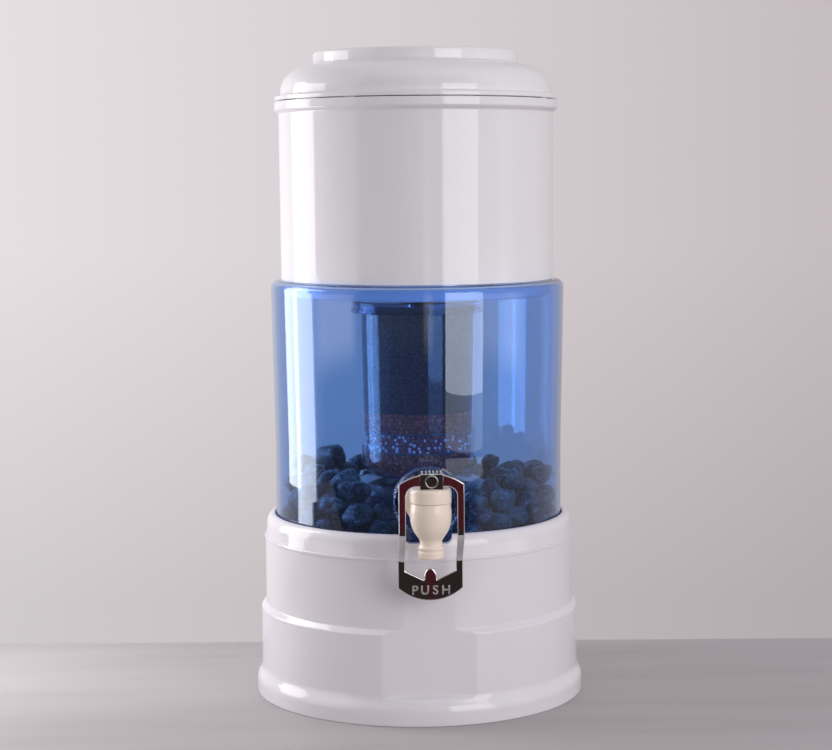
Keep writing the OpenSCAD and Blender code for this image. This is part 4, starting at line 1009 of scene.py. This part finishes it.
cartridge = dict(taper=2.8, foot=14, wall=2, cupTint=(0.93, 0.95, 0.98), capTint=(0.34, 0.40, 0.60),
                 capBore=6.05, capNeck=9.05, neckHigh=2.6, neckLow=7, capLip=1.5, capLipHigh=3.4, capWall=4.75,
                 shadow=(0.90, 0.94, 0.98), rough=0.02, capRough=0.05, ior=1.50)
cupR, cupBase, cupTop = roundSize("cartridge_cup")


# Outer radius of the cup at a height: it narrows evenly towards its foot.
def cupReach(z):
    return cupR - cartridge["taper"] * (cupTop - z) / (cupTop - cupBase)


# Profile of the cup drawn in by an inset: from its pole round its foot and up its wall.
def cupLine(inset):
    r = cartridge["foot"] - inset
    middle = cupReach(cupBase + cartridge["foot"]) - inset - r, cupBase + inset + r
    wall = np.linspace(middle[1], cupTop, 5)
    return np.concatenate([arc(middle, r, -90, 0, 10), np.stack([cupReach(wall) - inset, wall], 1)[1:]])


# The cup is its outer line and its inner one turned together.
def cupShape():
    wall = cartridge["wall"]
    profile = np.concatenate([[(0, cupBase)], cupLine(0), cupLine(wall)[::-1], [(0, cupBase + wall)]])
    return skin(turned(supported(profile), evenAngles(160)))


# The cap is turned in tiers: a bored neck, a flat deck, a straight side and a lip.
def capShape():
    edge, base, top = roundSize("cartridge_cap")
    bore, neck, foot, lip = cartridge["capBore"], cartridge["capNeck"], cartridge["neckLow"], cartridge["capLipHigh"]
    r, deck = edge - cartridge["capLip"], top - cartridge["neckHigh"]
    inside = r - cartridge["capWall"]
    return ringShape(outline((bore, top, 0.3), (neck, top, 0.5), (neck, deck), (r, deck, 1), (r, base + lip),
                             (edge, base + lip, 0.5), (edge, base, 0.5), (inside, base, 0.3), (inside, deck - 3),
                             (neck, deck - 3), (neck, deck - foot), (bore, deck - foot, 0.3)), 160)


# Radius of the cup's inside at a height, drawn in from its outer face by an inset: an even taper, then a rounded foot.
def innerReach(z, inset):
    foot, bowl = cupBase + cartridge["foot"], cartridge["foot"] - inset
    drop = np.clip(foot - z, 0, bowl)
    return cupReach(np.maximum(z, foot)) - inset - bowl + np.sqrt(bowl**2 - drop**2)


# A layer in the cup: solid from pole to pole between two heights, with its corners eased.
def bedShape(name, inset):
    most, base, top = roundSize(name)
    steps = np.linspace(base + 0.15, top - 0.15, 12)
    r = np.minimum(innerReach(steps, inset), most)
    rows = np.concatenate([[(0, base), (r[0] - 0.3, base)], np.stack([r, steps], 1), [(r[-1] - 0.3, top), (0, top)]])
    return skin(turned(rows, evenAngles(128)))


beads = dict(seed=11, r=1.55, rowStep=1.72, columnStep=2.02, turnJitter=0.9, heightJitter=0.42, depthJitter=0.25,
             sizes=(0.86, 1.02), rows=5, columns=7, whiteShare=0.31)


# Beads in a layer's outer face round a plain core: rows packed half a step apart, each bead moved a little.
def beadShapes(name, draw):
    r, inset = beads["r"], cartridge["wall"] + 0.15
    base, top = low[name][2] + r, high[name][2] - r
    levels = np.linspace(base, top, max(1, int((top - base) / (r * beads["rowStep"])) + 1))
    count = int(2 * np.pi * (cupReach(base) - 3.8) / (r * beads["columnStep"]))
    turn = (np.arange(count)[None] + 0.5 * (np.arange(len(levels))[:, None] % 2)) * 2 * np.pi / count
    turn = turn + draw.normal(0, beads["turnJitter"] / count, turn.shape) * 2 * np.pi / 3
    z = levels[:, None] + draw.normal(0, beads["heightJitter"], turn.shape)
    reach = innerReach(z, inset) - r - np.abs(draw.normal(0, beads["depthJitter"], turn.shape))
    centre = np.stack([reach * np.cos(turn), reach * np.sin(turn), z], -1).reshape(-1, 3)
    ball = ballGrid(beads["rows"], beads["columns"])
    size = r * draw.uniform(*beads["sizes"], len(centre))
    grids = centre[:, None, None, :] + ball[None] * size[:, None, None, None]
    core = bedShape(name, inset + r)
    tone = np.repeat(draw.uniform(0, 1, len(centre)), beads["rows"] * beads["columns"])
    return [skin(one) for one in grids] + [core], np.concatenate([tone, np.zeros(len(core[0]))])


# Finishes that only one kind of piece has

# Grains take their colour from the group's tone, and painted shade darkens their rims, where they meet.
def grainFinish(name, dark, pale, scale, rough, depth):
    material, tree, shader = newMaterial(name)
    made = placeGroup(tree, "grains", Scale=scale)
    colour = blended(tree, made["Tone"], dark, pale)
    # painted shade: the rims go darker, for the shade in the gaps between grains
    colour = blended(tree, made["GapShade"], colour, tuple(0.35 * c for c in dark))
    feed(tree, shader, {"Base Color": colour, "Roughness": ranged(tree, made["Tone"], 0, 1, rough, rough + 0.3),
                        "Normal": relief(tree, made["Height"], depth)})
    return material


# Beads take their shade from the number each one carries.
def beadFinish(name, dark, pale, rough):
    material, tree, shader = newMaterial(name)
    tone = addNode(tree, "ShaderNodeAttribute", attribute_name="tone").outputs["Fac"]
    fine = noise(tree, ownPlace(tree), 1800.0, 2.0)
    colour = blended(tree, sums(tree, "MULTIPLY", tone, ranged(tree, fine, 0.3, 0.7, 0.8, 1.0)), dark, pale)
    feed(tree, shader, {"Base Color": colour, "Roughness": ranged(tree, fine, 0.3, 0.7, rough, rough + 0.2),
                        "Normal": relief(tree, fine, 0.00004)})
    return material


# Felt is noise drawn out one way, dull and a little downy.
def feltFinish(name, colour):
    material, tree, shader = newMaterial(name)
    fibres = noise(tree, objectPlace(tree, (1, 1, 3.5)), 900.0, 5.0, 1.4)
    shade = blended(tree, ranged(tree, fibres, 0.3, 0.7), tuple(0.7 * c for c in colour), colour)
    feed(tree, shader, {"Base Color": shade, "Roughness": 0.9, "Sheen Weight": 0.3,
                        "Normal": relief(tree, fibres, 0.0002)})
    return material


makeWorld()
makeCamera()
for name, spec in lamps.items():
    softbox(name, spec)
makeTable()
bpy.context.scene.view_settings.view_transform = "Standard"
print("studio ready")

# the stand's plastic carries painted shade in its darker colour
shadedStandPlastic = mouldedFinish("shadedStandPlastic", stand["colour"], stand["rough"])
upperPlastic = mouldedFinish("upperPlastic", upper["colour"], upper["rough"])
lidPlastic = mouldedFinish("lidPlastic", lid["colour"], lid["rough"])
tapPlastic = mouldedFinish("tapPlastic", tap["colour"], tap["rough"], broad=60.0, fine=1400.0)
tankPlastic = clearFinish("bluePlastic", tank["tint"], tank["rough"], tank["shadow"], ior=tank["ior"])
trayPlastic = clearFinish("trayPlastic", tray["tint"], tray["rough"], tray["shadow"])
cupPlastic = clearFinish("cupPlastic", cartridge["cupTint"], cartridge["rough"], cartridge["shadow"],
                         ior=cartridge["ior"])
capPlastic = clearFinish("capPlastic", cartridge["capTint"], cartridge["capRough"], cartridge["shadow"])
rubber = mouldedFinish("rubber", (0.05, 0.05, 0.055), 0.5, **rubbery)
paleRubber = mouldedFinish("paleRubber", (0.30, 0.30, 0.31), 0.5, **rubbery)
ceramic = mouldedFinish("ceramic", dome["colour"], dome["rough"], shade=0.08, broad=60.0, fine=1800.0, depth=8e-5)
chrome = metalFinish("chrome", lever["colour"], lever["rough"])
satin = metalFinish("satinMetal", (0.80, 0.79, 0.77), 0.28)
steel = metalFinish("steel", (0.60, 0.60, 0.61), 0.2)
carbon = grainFinish("carbonGrains", (0.012, 0.007, 0.008), (0.085, 0.045, 0.042), 560.0, 0.35, 0.0009)
redBead = beadFinish("redBead", (0.28, 0.050, 0.030), (0.80, 0.20, 0.11), 0.45)
mixedBead = beadFinish("mixedBead", (0.30, 0.060, 0.040), (0.92, 0.92, 0.94), 0.4)
felt = feltFinish("felt", (0.16, 0.15, 0.16))
print("finishes ready")

makePiece("standShell", [standShape()] + standRibs(), shadedStandPlastic, "base", "base_stand")
makePiece("blueTank", [tankShape()], tankPlastic, "lower_tank", "lower_tank")
makePiece("slottedTray", [trayShape()], trayPlastic, "lower_tank", "stone_tray")
makePiece("riverStones", stoneShapes(), stoneFinish(), "lower_tank", "mineral_stones", sharp=60)
print("stand, tank and stones ready")

makePiece("tapBarrel", [barrelShape(), armShape()], tapPlastic, "lower_tank", "tap_body")
makePiece("tapBonnet", [bonnetShape()], tapPlastic, "lower_tank", "tap_bonnet")
makePiece("outerWasher", [washerShape("tap_outer_washer")], rubber, "lower_tank", "tap_outer_washer")
makePiece("innerWasher", [washerShape("tap_inner_washer")], rubber, "lower_tank", "tap_inner_washer")
makePiece("backNut", [nutShape()], tapPlastic, "lower_tank", "tap_nut")
makePiece("leverLoop", [loopShape()] + saddleShapes(), chrome, "tap_lever", "tap_lever")
letterPieces(satin)
print("tap ready")

makePiece("upperTank", [upperShape()], upperPlastic, "upper_tank", "upper_tank")
makePiece("lidShell", lidShapes(), lidPlastic, "lid", "lid")
makePiece("ceramicDome", [domeShape()], ceramic, "upper_tank", "ceramic_dome")
makePiece("domeBase", [domeBaseShape()], capPlastic, "upper_tank", "dome_base")
print("upper tank and lid ready")

beadDraw = np.random.default_rng(beads["seed"])
makePiece("cartridgeCup", [cupShape()], cupPlastic, "upper_tank", "cartridge_cup")
makePiece("cartridgeCap", [capShape()], capPlastic, "upper_tank", "cartridge_cap")
makePiece("carbonBed", [bedShape("carbon_bed", cartridge["wall"] + 0.2)], carbon, "upper_tank", "carbon_bed")
for name, finish in (("upper_ceramic_balls", redBead), ("mineral_balls", mixedBead), ("lower_ceramic_balls", redBead)):
    shapes, tone = beadShapes(name, beadDraw)
    if name == "mineral_balls":
        tone = np.where(tone > 1 - beads["whiteShare"], 1.0, tone * 0.3)
    makePiece(name + "_beads", shapes, finish, "upper_tank", name, sharp=180, tone=tone)
# CAD nodes that are shown as they are, each with its finish
plainNodes = {"upper_felt": felt, "lower_felt": felt, "inlet_felt": felt, "outlet_screen": felt,
              "bonnet_gasket": paleRubber, "valve_seal": paleRubber, "dome_washer": paleRubber,
              "cartridge_washer": paleRubber, "cartridge_seal": paleRubber, "valve_stem": steel, "lever_pin": steel}
for name, finish in plainNodes.items():
    coat(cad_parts[name].data, finish)
coil = makePiece("valveSpring", [springShape()], steel, "lower_tank", "valve_spring")
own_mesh(coil)
print("cartridge ready")
